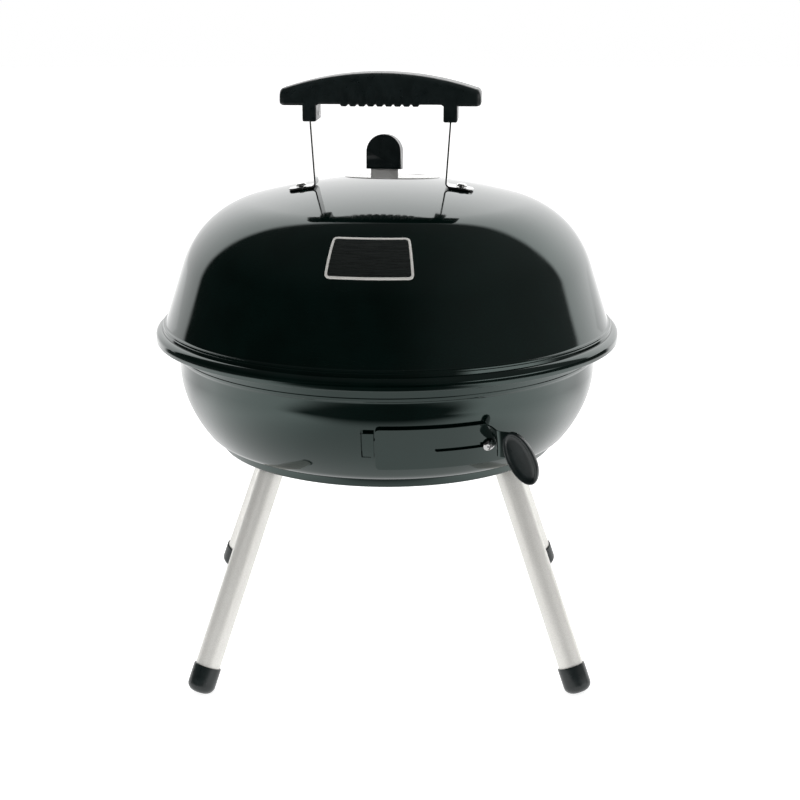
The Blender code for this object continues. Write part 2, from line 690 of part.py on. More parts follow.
def make_grip(plastic, lid_axis):
    """The moulded grip, rounded along its back, with a pocket for each strap."""
    bm = prism(grip_outline(), GRIP_DEPTH)
    top = GRIP_END_TOP - 0.005
    edges = [e for e in bm.edges
             if all(v.co.z > top for v in e.verts) and abs(e.verts[0].co.y - e.verts[1].co.y) < 1e-6]
    bmesh.ops.bevel(bm, geom=edges, offset=0.004, segments=3, profile=0.5, affect="EDGES")
    grip = add_object("grip", bm, plastic, lid_axis)
    grip.location = (*HANDLE_CENTRE, 0.0)
    grip.rotation_euler = (0.0, 0.0, LID_TURN)
    for side in (-1.0, 1.0):
        height = STRAP_TOP_Z + CLEARANCE - POST_BOTTOM + 0.004
        pocket = box(STRAP_SHEET + 2.0 * CLEARANCE, STRAP_WIDTH + 2.0 * CLEARANCE, height,
                     (side * STRAP_TOP_X, 0.0, POST_BOTTOM - 0.004 + height / 2.0))
        tool = add_object("tool_pocket", pocket, None)
        tool.location = grip.location
        tool.rotation_euler = grip.rotation_euler
        boolean(grip, tool, "DIFFERENCE")
        hole = pin_tool(side, 0.0018, 0.0084)
        hole.location.x -= side * 0.0021
        boolean(grip, hole, "DIFFERENCE")
    return grip


def make_handle_fixings(zinc, lid_axis):
    """Cross pins in the posts, and a screw and nut on each strap's foot."""
    for word, side in (("left", -1.0), ("right", 1.0)):
        x, y = handle_to_lid(side * (STRAP_TOP_X - 0.0020), 0.0)
        pin = add_object(f"grip_pin_{word}", cylinder(0.0015, -0.0037, 0.0037, 12), zinc, lid_axis)
        aim(pin, (x, y, POST_BOTTOM + 0.0050), (math.cos(LID_TURN), math.sin(LID_TURN), 0.0))

        point, axis = strap_screw_place(side)
        head = 0.0004 + STRAP_SHEET + 0.0006
        outline = [(0.0, -0.0072), (0.0019, -0.0072), (0.0019, head), (0.0042, head)]
        outline += [(0.0042, head + 0.0008), (0.0030, head + 0.0018), (0.0, head + 0.0023)]
        aim(add_object(f"strap_screw_{word}", turned(outline, 12), zinc, lid_axis), point, axis)
        top = -(SHEET + NUT_GAP)
        ring = [(0.0022, top - 0.0030), (0.0041, top - 0.0030), (0.0041, top), (0.0022, top)]
        aim(add_object(f"strap_nut_{word}", turned(ring, 6), zinc, lid_axis), point, axis)


def make_nameplate(plate_finish, lid_axis):
    """A plain plate that follows the lid's shoulder."""
    crown_z = CROWN_TOP - CROWN_RADIUS
    shoulder_z = crown_z + math.sqrt((CROWN_RADIUS - SHOULDER_RADIUS) ** 2 - SHOULDER_R ** 2)
    low = math.asin((PLATE_LOW - shoulder_z) / SHOULDER_RADIUS)
    high = math.asin((PLATE_HIGH - shoulder_z) / SHOULDER_RADIUS)
    radius = SHOULDER_RADIUS + 0.0011
    rows = []
    for i in range(6):
        tilt = low + (high - low) * i / 5
        r = SHOULDER_R + radius * math.cos(tilt)
        z = shoulder_z + radius * math.sin(tilt)
        trim = 1.2 if i in (0, 5) else 0.0
        row = []
        for j in range(11):
            span = PLATE_SPAN - trim
            azimuth = math.radians(PLATE_AZIMUTH + span * (j / 5.0 - 1.0))
            row.append((r * math.sin(azimuth), -r * math.cos(azimuth), z))
        rows.append(row)
    return sheet_grid("nameplate", rows, lambda i, j: True, 0.001, plate_finish, lid_axis)


# ---------------------------------------------------------------- lid vent

def disc_height(r):
    """Height of the disc's middle above the crown's tangent plane at the rivet."""
    radius = CROWN_RADIUS + VENT_DISC_GAP
    return math.sqrt(radius ** 2 - r * r) - CROWN_RADIUS


def make_vent(chrome, plastic, zinc, vent_axis, lid_axis):
    """The disc with its upright tab, the knob on the tab and the rivet."""
    half = VENT_SHEET / 2.0
    radii = [VENT_DISC_RADIUS * k / 2.0 for k in range(3)]
    upper = [(r, disc_height(r) + half) for r in radii]
    lower = [(r, disc_height(r) - half) for r in reversed(radii)]
    disc = add_object("vent_disc", turned(upper + lower, 32), chrome, vent_axis)
    tab_y = VENT_DISC_RADIUS - VENT_SHEET * 1.2
    foot = disc_height(tab_y) - half * 0.5
    tab = box(TAB_WIDTH, VENT_SHEET, TAB_TOP - foot, (0.0, -tab_y, (TAB_TOP + foot) / 2.0))
    spin = Matrix.Rotation(TAB_AZIMUTH, 4, "Z")
    bmesh.ops.transform(tab, matrix=spin, verts=tab.verts)
    boolean_local(disc, tab, "UNION")
    for k in range(3):
        angle = TAB_AZIMUTH + math.radians(120.0 * k)
        hole = cylinder(VENT_HOLE_RADIUS, -0.004, 0.004, 12)
        shift = (VENT_HOLE_ORBIT * math.sin(angle), -VENT_HOLE_ORBIT * math.cos(angle), 0.0)
        bmesh.ops.translate(hole, vec=shift, verts=hole.verts)
        boolean_local(disc, hole, "DIFFERENCE")
    boolean_local(disc, cylinder(0.0027, -0.004, 0.004, 10), "DIFFERENCE")

    straight = KNOB_TOP - KNOB_HALF
    outline = [(KNOB_HALF + 0.0003, KNOB_BOTTOM)]
    outline += arc((0.0, straight), KNOB_HALF, 0.0, 180.0, 12)
    outline.append((-KNOB_HALF - 0.0003, KNOB_BOTTOM))
    bm = prism(outline, KNOB_DEPTH)
    rim = [e for e in bm.edges if abs(e.verts[0].co.y - e.verts[1].co.y) < 1e-6]
    bmesh.ops.bevel(bm, geom=rim, offset=0.0018, segments=2, profile=0.5, affect="EDGES")
    knob = add_object("vent_knob", bm, plastic, vent_axis)
    knob.location = (tab_y * math.sin(TAB_AZIMUTH), -tab_y * math.cos(TAB_AZIMUTH), 0.0)
    knob.rotation_euler = (0.0, 0.0, TAB_AZIMUTH)
    height = TAB_TOP + CLEARANCE - KNOB_BOTTOM + 0.004
    pocket = box(TAB_WIDTH + 2.0 * CLEARANCE, VENT_SHEET + 2.0 * CLEARANCE, height,
                 (0.0, -tab_y, KNOB_BOTTOM - 0.004 + height / 2.0))
    bmesh.ops.transform(pocket, matrix=spin, verts=pocket.verts)
    boolean_local(knob, pocket, "DIFFERENCE")

    head = disc_height(0.0) + half + CLEARANCE
    under = -(SHEET + NUT_GAP)
    outline = [(0.0, under - 0.0015), (0.0045, under - 0.0013), (0.0045, under), (0.0024, under)]
    outline += [(0.0024, head), (0.0048, head), (0.0044, head + 0.0010), (0.0, head + 0.0018)]
    rivet = add_object("vent_rivet", turned(outline, 14), zinc, lid_axis)
    centre, normal = crown_point(*VENT_CENTRE)
    aim(rivet, centre, normal)


def boolean_local(target, tool_bm, operation):
    """A boolean with a tool drawn in the axes of the target's parent."""
    tool = add_object("tool_local", tool_bm, None, target.parent)
    boolean(target, tool, operation)


# ---------------------------------------------------------------- grates

def wire_ring(radius, z, wire):
    """A closed hexagonal wire hoop."""
    return turned(arc((radius, z), wire, 0.0, 300.0, 5), SEGMENTS * 3 // 4)


def wire_bar(start, end, wire):
    """A straight wire."""
    start, end = Vector(start), Vector(end)
    along = end - start
    rod = cylinder(wire, 0.0, along.length, 5)
    turn = Vector((0.0, 0.0, 1.0)).rotation_difference(along.normalized()).to_matrix().to_4x4()
    bmesh.ops.transform(rod, matrix=Matrix.Translation(start) @ turn, verts=rod.verts)
    return rod


def make_grate(name, radius, z, pitch, steel, axis_empty):
    """A hoop with parallel wires welded across it and one cross wire underneath."""
    grate = add_object(name, wire_ring(radius, z, WIRE_RADIUS), steel, axis_empty)
    thin = WIRE_RADIUS * 0.75
    count = int((radius - 0.006) // pitch)
    bars = []
    for k in range(-count, count + 1):
        x = k * pitch
        half = math.sqrt(radius ** 2 - x * x)
        bars.append(wire_bar((x, -half, z + 0.0006), (x, half, z + 0.0006), thin))
    boolean(grate, add_object("tool_bars", merged(*bars), None), "UNION")
    cross = wire_bar((-radius, 0.0005, z - 0.0008), (radius, 0.0005, z - 0.0008), thin)
    boolean(grate, add_object("tool_bars", cross, None), "UNION")
    return grate


def make_clip(index, steel):
    """A small bracket welded inside the bowl, with a ledge for the cooking grate."""
    wall = BOWL_RADIUS - SHEET - 0.0012
    sheet = 0.0012
    outline = [(wall, CLIP_LEDGE_Z - 0.010), (wall, CLIP_LEDGE_Z + sheet), (wall - 0.009, CLIP_LEDGE_Z + sheet)]
    outline += [(wall - 0.009, CLIP_LEDGE_Z), (wall - sheet, CLIP_LEDGE_Z), (wall - sheet, CLIP_LEDGE_Z - 0.010)]
    clip = add_object(f"grate_clip_{index}", prism(outline, 0.014), steel)
    clip.rotation_euler = (0.0, 0.0, math.radians(45.0 + 90.0 * index))
    return clip


# ---------------------------------------------------------------- assembly

def main():
    for old in list(bpy.data.objects):
        bpy.data.objects.remove(old)
    enamel = material("black_enamel", (0.010, 0.013, 0.012), 0.08, 0.0)
    silver = material("silver_paint", (0.60, 0.59, 0.56), 0.38, 0.6)
    plastic = material("black_plastic", (0.014, 0.015, 0.015), 0.42, 0.0)
    zinc = material("zinc_plate", (0.72, 0.72, 0.70), 0.25, 1.0)
    chrome = material("chrome_plate", (0.80, 0.80, 0.80), 0.08, 1.0)
    wire = material("plated_wire", (0.55, 0.55, 0.54), 0.30, 1.0)
    plate = material("nameplate_grey", (0.30, 0.32, 0.31), 0.35, 0.8)

    make_bowl(enamel)
    for word, foot, axis in leg_frames():
        make_leg(word, foot, axis, silver, plastic, zinc)
    for index in range(4):
        make_clip(index, zinc)

    slide_axis = add_axis("damper_axis", (0.0, 0.0, 0.0))
    make_damper_slide(enamel, slide_axis)
    make_damper_paddle(plastic, slide_axis)
    make_damper_keeper(enamel)
    make_damper_fixing(chrome, zinc)

    lid_axis = add_axis("lid_axis", (0.0, 0.0, 0.0))
    make_lid(enamel, lid_axis)
    make_nameplate(plate, lid_axis)
    for word, side in (("left", -1.0), ("right", 1.0)):
        make_strap(word, side, chrome, lid_axis)
    make_grip(plastic, lid_axis)
    make_handle_fixings(zinc, lid_axis)
    centre, normal = crown_point(*VENT_CENTRE)
    vent_axis = add_axis("vent_axis", centre, normal)
    make_vent(chrome, plastic, zinc, vent_axis, lid_axis)

    make_grate("cooking_grate", COOKING_RADIUS, COOKING_Z, COOKING_PITCH, wire, None)
    make_grate("charcoal_grate", CHARCOAL_RADIUS, CHARCOAL_Z, CHARCOAL_PITCH, wire, None)


main()
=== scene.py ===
"""Looks of a portable tabletop charcoal grill: fine shells and fittings, finishes, studio, camera.

Metres, in the CAD model's own frame: +Z up, the front faces -Y. Azimuths are degrees from -Y
towards +X. Each piece rides on the CAD body that it belongs to.
"""

import math

import bmesh
import bpy
from mathutils import Matrix, Vector


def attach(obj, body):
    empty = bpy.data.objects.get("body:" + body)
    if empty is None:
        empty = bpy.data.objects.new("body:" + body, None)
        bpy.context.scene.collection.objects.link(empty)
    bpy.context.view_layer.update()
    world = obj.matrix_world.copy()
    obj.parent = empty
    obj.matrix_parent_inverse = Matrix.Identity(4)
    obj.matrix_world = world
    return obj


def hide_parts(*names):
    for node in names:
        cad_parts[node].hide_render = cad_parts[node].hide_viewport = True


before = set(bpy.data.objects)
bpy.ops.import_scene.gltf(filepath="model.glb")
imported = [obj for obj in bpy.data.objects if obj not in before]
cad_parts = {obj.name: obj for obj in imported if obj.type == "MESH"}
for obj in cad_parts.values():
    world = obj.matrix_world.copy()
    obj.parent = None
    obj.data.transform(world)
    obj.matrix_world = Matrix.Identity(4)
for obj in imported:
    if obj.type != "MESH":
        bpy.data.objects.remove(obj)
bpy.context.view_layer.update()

# Kettle
SHEET = 0.0012
RIM_RADIUS = 0.184
RIM_Z = 0.2575
LIP_ROUND = 0.0048
LIP_DEPTH = 0.0045
LIP_HEM = 0.0008
CROWN_TOP = 0.37526
CROWN_RADIUS = 0.4327
SHOULDER_RADIUS = 0.07515
SHOULDER_R = 0.08945
WALL_LEAN = 0.320
WALL_FOOT_Z = 0.267
LEDGE_FILLET = 0.0015
BOWL_RADIUS = 0.1658
BOWL_WAIST_Z = 0.23035
BOWL_DEPTH = 0.11593
BOWL_POWER = 1.892
BOWL_FLOOR = 0.1668
BOWL_SIDE_START = 0.180
HEEL_RADIUS = 0.018
HEEL_END = -75.0
BASE_RADIUS = 0.135
BASE_ROUND = 0.0015
FLARE_Z = 0.2398
FLARE_LEAN = math.radians(14.0)
BOWL_RIM_FILLET = 0.005
BOWL_RIM_UNDER = 0.2589
BOWL_RIM_RADIUS = 0.1803
BEAD_LOW = 0.2412
BEAD_HIGH = 0.2432
BEAD_RISE = 0.0004
BEAD_SOFT = 0.0008
LID_SEGMENTS = 256
BOWL_SEGMENTS = 384

# Legs
FOOT_X = 0.146
FOOT_Y = 0.132
LEG_SHIFT = 0.0018
LEAN_X = 0.3412
LEAN_Y = 0.3264
LEG_RADIUS = 0.0095
LEG_WALL = 0.0012
LEG_SEAT = 0.1898
LEG_START = 0.0065
SEAT_RADIUS = 0.0112
SEAT_SOFT = 0.004
CAP_RADIUS = 0.0106
CAP_TOP = 0.0215
CAP_END = 0.0004
CAP_ROUND = 0.0065
CLEARANCE = 0.0003

# Bowl damper
STRIP_STAND_OFF = 0.0011
STRIP_SHEET = 0.001
STRIP_LEFT = -3.0
TONGUE_LEFT = -4.7
TONGUE_LOW = 0.2015
TONGUE_HIGH = 0.2118
SLOT_LEFT = 12.2
SLOT_RIGHT = 28.0
SLOT_MIDDLE_Z = 0.2038
SLOT_HALF = 0.0023
STRIP_TOP = 0.221
STRIP_BOTTOM = 0.1875
STRIP_NEAR_Z = 0.2045
STRIP_RIGHT_TOP = 25.5
STRIP_RIGHT_BOTTOM = 34.0
SCREW_AZIMUTH = 26.9
VENT_AZIMUTHS = (0.0, 4.1, 8.2)
VENT_Z = 0.205
VENT_RADIUS = 0.005
LUG_CORNER = (0.0784, -0.1583)
LUG_TURN = math.radians(-20.0)
LUG_REACH = 0.0150
LUG_LOW = 0.1985
LUG_HIGH = 0.2175
LUG_RISE = 0.0026
PADDLE_REACH = 0.0178
PADDLE_Z = 0.1990
PADDLE_HALF_WIDTH = 0.0104
PADDLE_HALF_LENGTH = 0.0205
PADDLE_TILT = math.radians(27.8)
PADDLE_THICK = 0.005

# Lid fittings
LID_TURN = math.radians(-4.7)
HANDLE_CENTRE = (-0.0045, -0.016)
STRAP_SHEET = 0.0012
STRAP_WIDTH = 0.018
STRAP_BASE_X = 0.0505
STRAP_TOP_X = 0.0535
FOOT_LENGTH = 0.021
STRAP_TOP_Z = 0.4315
GRIP_HALF = 0.0765
GRIP_DEPTH = 0.030
GRIP_TOP = 0.459
GRIP_END_TOP = 0.4475
GRIP_UNDER = 0.4345
GRIP_EDGE = 0.004
POST_BOTTOM = 0.4225
POST_WIDTH = 0.0106
RIB_COUNT = 9
RIB_PITCH = 0.0068
RIB_DEPTH = 0.0016
VENT_CENTRE = (0.0045, 0.036)
VENT_DISC_RADIUS = 0.0385
VENT_DISC_GAP = 0.0009
VENT_SHEET = 0.001
VENT_HOLE_RADIUS = 0.006
VENT_HOLE_ORBIT = 0.022
TAB_AZIMUTH = math.radians(-10.0)
TAB_WIDTH = 0.0215
TAB_TOP = 0.0198
KNOB_BOTTOM = 0.0068
KNOB_TOP = 0.0336
KNOB_HALF = 0.0135
KNOB_DEPTH = 0.012
PLATE_AZIMUTH = -4.7
PLATE_SPAN = 11.7
PLATE_LOW = 0.3255
PLATE_HIGH = 0.3505
PLATE_GAP = 0.0006
PLATE_BORDER = 0.0018

# Grates
WIRE_RADIUS = 0.0025
WIRE_THIN = 0.75
COOKING_RADIUS = 0.160
COOKING_Z = 0.2461
COOKING_PITCH = 0.020
CHARCOAL_RADIUS = 0.1458
CHARCOAL_Z = 0.1885
CHARCOAL_PITCH = 0.028

# Studio
CAMERA_PLACE = (0.0, -1.1754, 0.5285)
CAMERA_TILT = 0.276
CAMERA_LENS = 67.3
CAMERA_SHIFT = 0.01625
LAMP_TARGET = (0.0, 0.0, 0.2)

SHARP_ANGLE = math.radians(32.0)


# ---- node materials

def noise(tree, scale, detail=2.0, stretch=(1.0, 1.0, 1.0)):
    """A noise value in the object's own coordinates; scale is in waves per metre."""
    place = tree.nodes.new("ShaderNodeTexCoord")
    mapping = tree.nodes.new("ShaderNodeMapping")
    mapping.inputs["Scale"].default_value = stretch
    made = tree.nodes.new("ShaderNodeTexNoise")
    made.inputs["Scale"].default_value = scale
    made.inputs["Detail"].default_value = detail
    tree.links.new(place.outputs["Object"], mapping.inputs["Vector"])
    tree.links.new(mapping.outputs["Vector"], made.inputs["Vector"])
    return made.outputs["Fac"]


def cells(tree, scale):
    """A random value per small cell, for flakes and crystals."""
    place = tree.nodes.new("ShaderNodeTexCoord")
    made = tree.nodes.new("ShaderNodeTexVoronoi")
    made.inputs["Scale"].default_value = scale
    tree.links.new(place.outputs["Object"], made.inputs["Vector"])
    split = tree.nodes.new("ShaderNodeSeparateColor")
    tree.links.new(made.outputs["Color"], split.inputs["Color"])
    return split.outputs["Red"]


def remap(tree, value, low, high, start, end):
    """A value moved smoothly from the range start to end onto the range low to high."""
    made = tree.nodes.new("ShaderNodeMapRange")
    made.interpolation_type = "SMOOTHSTEP"
    made.inputs["From Min"].default_value = start
    made.inputs["From Max"].default_value = end
    made.inputs["To Min"].default_value = low
    made.inputs["To Max"].default_value = high
    tree.links.new(value, made.inputs["Value"])
    return made.outputs["Result"]


def spread(tree, pattern, low, high):
    """A pattern's value between two ends. Noise keeps to the middle of its range, cells fill theirs."""
    make, *settings = pattern
    start, end = (0.0, 1.0) if make is cells else (0.3, 0.7)
    return remap(tree, make(tree, *settings), low, high, start, end)


def new_finish(name, metallic, colour, gloss, bumps, **constants):
    """A Principled material. Colour is (pattern, dark, light), gloss is (pattern, low, high) and each
    bump is (pattern, depth in metres), where a pattern is a function and its settings. Constants are
    set on the shader's own sockets."""
    made = bpy.data.materials.new(name)
    made.use_nodes = True
    tree = made.node_tree
    shader = tree.nodes["Principled BSDF"]
    shader.inputs["Metallic"].default_value = metallic
    for socket, value in constants.items():
        shader.inputs[socket.replace("_", " ")].default_value = value
    pattern, dark, light = colour
    blend = tree.nodes.new("ShaderNodeMix")
    blend.data_type = "RGBA"
    blend.inputs[6].default_value = (*dark, 1.0)
    blend.inputs[7].default_value = (*light, 1.0)
    tree.links.new(spread(tree, pattern, 0.0, 1.0), blend.inputs[0])
    tree.links.new(blend.outputs[2], shader.inputs["Base Color"])
    tree.links.new(spread(tree, *gloss), shader.inputs["Roughness"])
    normal = None
    for (make, *settings), depth in bumps:
        bump = tree.nodes.new("ShaderNodeBump")
        bump.inputs["Strength"].default_value = 1.0
        bump.inputs["Distance"].default_value = depth
        tree.links.new(make(tree, *settings), bump.inputs["Height"])
        if normal:
            tree.links.new(normal, bump.inputs["Normal"])
        normal = bump.outputs["Normal"]
    tree.links.new(normal, shader.inputs["Normal"])
    return made


def make_enamel():
    """Glossy black porcelain enamel: faint orange peel and uneven gloss."""
    return new_finish("enamel_gloss", 0.0,
                      ((noise, 35.0), (0.0002, 0.0030, 0.0022), (0.0006, 0.0046, 0.0036)),
                      ((noise, 60.0, 4.0), 0.045, 0.085),
                      [((noise, 45.0, 1.0), 0.00003), ((noise, 420.0, 1.0), 0.000004)],
                      IOR=1.52, Specular_Tint=(0.80, 1.0, 0.95, 1.0))


def make_silver():
    """Warm silver paint with fine metal flake."""
    flake = (cells, 3200.0)
    return new_finish("silver_flake", 0.25, (flake, (0.76, 0.75, 0.71), (0.88, 0.87, 0.83)),
                      ((noise, 90.0, 3.0), 0.34, 0.44), [((noise, 1500.0, 2.0), 0.00001), (flake, 0.000006)])


def make_plastic():
    """Moulded black nylon with a fine spark-eroded grain."""
    return new_finish("moulded_nylon", 0.0,
                      ((noise, 140.0, 3.0), (0.0050, 0.0090, 0.0092), (0.0090, 0.0145, 0.0148)),
                      ((noise, 220.0, 3.0), 0.27, 0.37), [((noise, 2200.0, 2.0), 0.00002)])


def make_zinc():
    """Zinc-plated fasteners, with a soft crystal pattern."""
    return new_finish("zinc_plating", 1.0, ((cells, 700.0), (0.60, 0.60, 0.58), (0.76, 0.76, 0.74)),
                      ((noise, 500.0, 2.0), 0.20, 0.34), [((noise, 1800.0, 2.0), 0.000008)])


def make_chrome():
    """Bright plated sheet with faint rolling lines."""
    return new_finish("bright_plating", 1.0, ((noise, 80.0, 3.0), (0.42, 0.42, 0.42), (0.50, 0.50, 0.495)),
                      ((noise, 150.0, 4.0), 0.10, 0.20), [((noise, 90.0, 3.0, (30.0, 1.0, 1.0)), 0.000003)])


def make_satin():
    """Satin plated sheet of the lid vent, lighter and softer than the straps."""
    return new_finish("satin_plating", 0.30, ((noise, 80.0, 3.0), (0.58, 0.575, 0.56), (0.68, 0.675, 0.66)),
                      ((noise, 150.0, 4.0), 0.14, 0.24), [((noise, 90.0, 3.0, (30.0, 1.0, 1.0)), 0.000003)])


def make_wire():
    """Nickel-plated grate wire, a little smoked."""
    return new_finish("grate_plating", 1.0, ((noise, 60.0, 4.0), (0.46, 0.455, 0.44), (0.62, 0.62, 0.60)),
                      ((noise, 300.0, 3.0), 0.24, 0.38), [((noise, 1400.0, 2.0), 0.00001)])


def make_plate_finish():
    """Black lacquered metal, faintly brushed along its length."""
    lines = (noise, 60.0, 3.0, (1.0, 1.0, 50.0))
    return new_finish("lacquered_plate", 0.0, (lines, (0.006, 0.008, 0.0075), (0.012, 0.015, 0.014)),
                      (lines, 0.24, 0.34), [(lines, 0.000008)])


# ---- mesh tools

def shade(mesh):
    """Smooth shading, with the sharp edges kept."""
    mesh.shade_smooth()
    mesh.set_sharp_from_angle(angle=SHARP_ANGLE)


def linked(name, data):
    """A new object of the scene."""
    made = bpy.data.objects.new(name, data)
    bpy.context.collection.objects.link(made)
    return made


def new_object(name, bm, finish):
    """An object from a bmesh, faces pointing out."""
    bmesh.ops.recalc_face_normals(bm, faces=bm.faces)
    mesh = bpy.data.meshes.new(name)
    bm.to_mesh(mesh)
    bm.free()
    shade(mesh)
    if finish:
        mesh.materials.append(finish)
    return linked(name, mesh)


def apply_modifiers(target):
    """Replaces an object's mesh by its evaluated one."""
    bpy.context.view_layer.update()
    depsgraph = bpy.context.evaluated_depsgraph_get()
    mesh = bpy.data.meshes.new_from_object(target.evaluated_get(depsgraph))
    target.modifiers.clear()
    target.data = mesh
    shade(mesh)


def boolean(target, tool, operation):
    """Applies an exact boolean with a tool object, then removes the tool."""
    cut = target.modifiers.new("cut", "BOOLEAN")
    cut.operation = operation
    cut.solver = "EXACT"
    cut.object = tool
    apply_modifiers(target)
    bpy.data.objects.remove(tool)


def carve(target, bm, operation="DIFFERENCE"):
    """Cuts a shape out of an object, or joins it or keeps what it covers."""
    boolean(target, new_object("tool", bm, None), operation)


def piece(made, body, slot, *nodes):
    """Says what a new piece rides on and which CAD nodes it stands for; the slot argument is not used."""
    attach(made, body)
    if nodes:
        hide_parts(*nodes)


def smooth(value, start, end):
    """A soft step from 0 at start to 1 at end."""
    share = min(max((value - start) / (end - start), 0.0), 1.0)
    return share * share * (3.0 - 2.0 * share)


def arc(centre, radius, start, end, steps):
    """Points along an arc in the (r, z) plane, angles in degrees from +r."""
    angles = [math.radians(start + (end - start) * i / steps) for i in range(steps + 1)]
    return [(centre[0] + radius * math.cos(a), centre[1] + radius * math.sin(a)) for a in angles]


def offset_line(points, distance):
    """A line moved sideways, to the left of its direction; ends on the axis stay on it."""
    moved = []
    for i, (r, z) in enumerate(points):
        before = points[max(i - 1, 0)]
        after = points[min(i + 1, len(points) - 1)]
        into = Vector((r - before[0], z - before[1]))
        out = Vector((after[0] - r, after[1] - z))
        into = into.normalized() if into.length > 0.0 else out.normalized()
        out = out.normalized() if out.length > 0.0 else into
        middle = (into + out).normalized()
        reach = distance / max(middle.dot(into), 0.5)
        moved.append((max(r - middle.y * reach, 0.0), z + middle.x * reach))
    return moved


def corner_curve(start, corner, end, steps):
    """Points from start to end, on a curve that heads for the corner between them."""
    shares = [k / steps for k in range(steps + 1)]
    return [start * (1.0 - t) ** 2 + corner * (2.0 * t * (1.0 - t)) + end * t * t for t in shares]


def rounded_outline(corners, steps=6):
    """A closed outline through (x, y, radius) corners, each corner turned by a curve."""
    outline = []
    for i, (x, y, radius) in enumerate(corners):
        corner = Vector((x, y))
        before = Vector(corners[i - 1][:2])
        after = Vector(corners[(i + 1) % len(corners)][:2])
        start = corner + (before - corner).normalized() * radius
        end = corner + (after - corner).normalized() * radius
        outline += corner_curve(start, corner, end, steps)
    return outline


def turned(outline, segments, shape=None):
    """A solid of revolution about Z from a closed (r, z) outline; shape may move each point."""
    bm = bmesh.new()
    rings = []
    for i, (r, z) in enumerate(outline):
        count = segments if r > 1e-7 else 1
        ring = []
        for k in range(count):
            angle = 2.0 * math.pi * k / segments
            point = Vector((r * math.cos(angle), r * math.sin(angle), z))
            ring.append(bm.verts.new(shape(point, i) if shape else point))
        rings.append(ring)
    for one, two in zip(rings, rings[1:] + rings[:1]):
        if len(one) == 1 and len(two) == 1:
            continue
        for k in range(segments):
            n = (k + 1) % segments
            corners = [one[k % len(one)], one[n % len(one)], two[n % len(two)], two[k % len(two)]]
            bm.faces.new(list(dict.fromkeys(corners)))
    return bm


def rod(radius, low, high):
    """A solid rod along Z."""
    return turned([(0.0, low), (radius, low), (radius, high), (0.0, high)], 32)


def box(size_x, size_y, size_z, centre=(0.0, 0.0, 0.0), edge=0.0):
    """A block with its edges rounded."""
    bm = bmesh.new()
    scale = Matrix.Diagonal((size_x, size_y, size_z, 1.0))
    bmesh.ops.create_cube(bm, size=1.0, matrix=Matrix.Translation(centre) @ scale)
    if edge > 0.0:
        bmesh.ops.bevel(bm, geom=bm.edges[:], offset=edge, segments=4, profile=0.5, affect="EDGES")
    return bm


def prism(outline, depth):
    """An (x, z) outline drawn out along Y, centred on y = 0."""
    bm = bmesh.new()
    front = [bm.verts.new((x, -depth / 2.0, z)) for x, z in outline]
    back = [bm.verts.new((x, depth / 2.0, z)) for x, z in outline]
    bm.faces.new(front)
    bm.faces.new(list(reversed(back)))
    for i in range(len(outline)):
        n = (i + 1) % len(outline)
        bm.faces.new((front[n], front[i], back[i], back[n]))
    return bm


def skin_between(bm, one, two):
    """Faces between two closed loops with the same number of points."""
    for k in range(len(one)):
        n = (k + 1) % len(one)
        bm.faces.new((one[k], one[n], two[n], two[k]))


def loft(loops):
    """A closed skin over a row of loops with the same number of points."""
    bm = bmesh.new()
    rings = [[bm.verts.new(p) for p in loop] for loop in loops]
    for one, two in zip(rings, rings[1:]):
        skin_between(bm, one, two)
    bm.faces.new(rings[0])
    bm.faces.new(list(reversed(rings[-1])))
    return bm


def sheet(name, rows, thickness, finish):
    """Sheet metal from a grid of mid-surface points."""
    bm = bmesh.new()
    verts = [[bm.verts.new(p) for p in row] for row in rows]
    for upper, lower in zip(verts, verts[1:]):
        for j in range(len(upper) - 1):
            bm.faces.new((upper[j], upper[j + 1], lower[j + 1], lower[j]))
    made = new_object(name, bm, finish)
    solid = made.modifiers.new("sheet", "SOLIDIFY")
    solid.thickness = thickness
    solid.offset = 0.0
    solid.use_even_offset = True
    apply_modifiers(made)
    return made


def moved(bm, matrix):
    """A bmesh moved by a matrix."""
    bmesh.ops.transform(bm, matrix=matrix, verts=bm.verts)
    return bm


def placed(bm, location, axis, spin=0.0):
    """A bmesh drawn about Z, moved so that Z lies along axis at location."""
    turn = Vector((0.0, 0.0, 1.0)).rotation_difference(Vector(axis).normalized()).to_matrix().to_4x4()
    return moved(bm, Matrix.Translation(location) @ turn @ Matrix.Rotation(spin, 4, "Z"))


def pocket(size_x, size_y, x, y, mouth, top):
    """A cutter for the pocket that a sheet's end fits, open downwards at its mouth."""
    low = mouth - 0.004
    high = top + CLEARANCE
    return box(size_x + 2.0 * CLEARANCE, size_y + 2.0 * CLEARANCE, high - low, (x, y, (high + low) / 2.0))


def merged(*parts):
    """Several bmeshes as one, each still its own body."""
    bm = parts[0]
    for part in parts[1:]:
        verts = {v: bm.verts.new(v.co) for v in part.verts}
        for face in part.faces:
            bm.faces.new([verts[v] for v in face.verts])
        part.free()
    return bm


# ---- kettle

def bowl_radius(z):
    """The bowl's outer radius at a height on its side."""
    drop = max(BOWL_WAIST_Z - z, 0.0) / BOWL_DEPTH
    return BOWL_RADIUS * (1.0 - drop ** BOWL_POWER) ** (1.0 / BOWL_POWER)


def bowl_normal(z):
    """Outward normal (r, z) of the bowl's side at a height."""
    step = 0.0005
    slope = (bowl_radius(z + step) - bowl_radius(z - step)) / (2.0 * step)
    return Vector((1.0, -slope)).normalized()


def around(azimuth, r, z):
    """A point at an azimuth in degrees, a distance from the kettle's axis and a height."""
    angle = math.radians(azimuth)
    return Vector((r * math.sin(angle), -r * math.cos(angle), z))


def bowl_point(azimuth, z, offset=0.0):
    """A point off the bowl's side."""
    normal = bowl_normal(z)
    return around(azimuth, bowl_radius(z) + normal.x * offset, z + normal.y * offset)


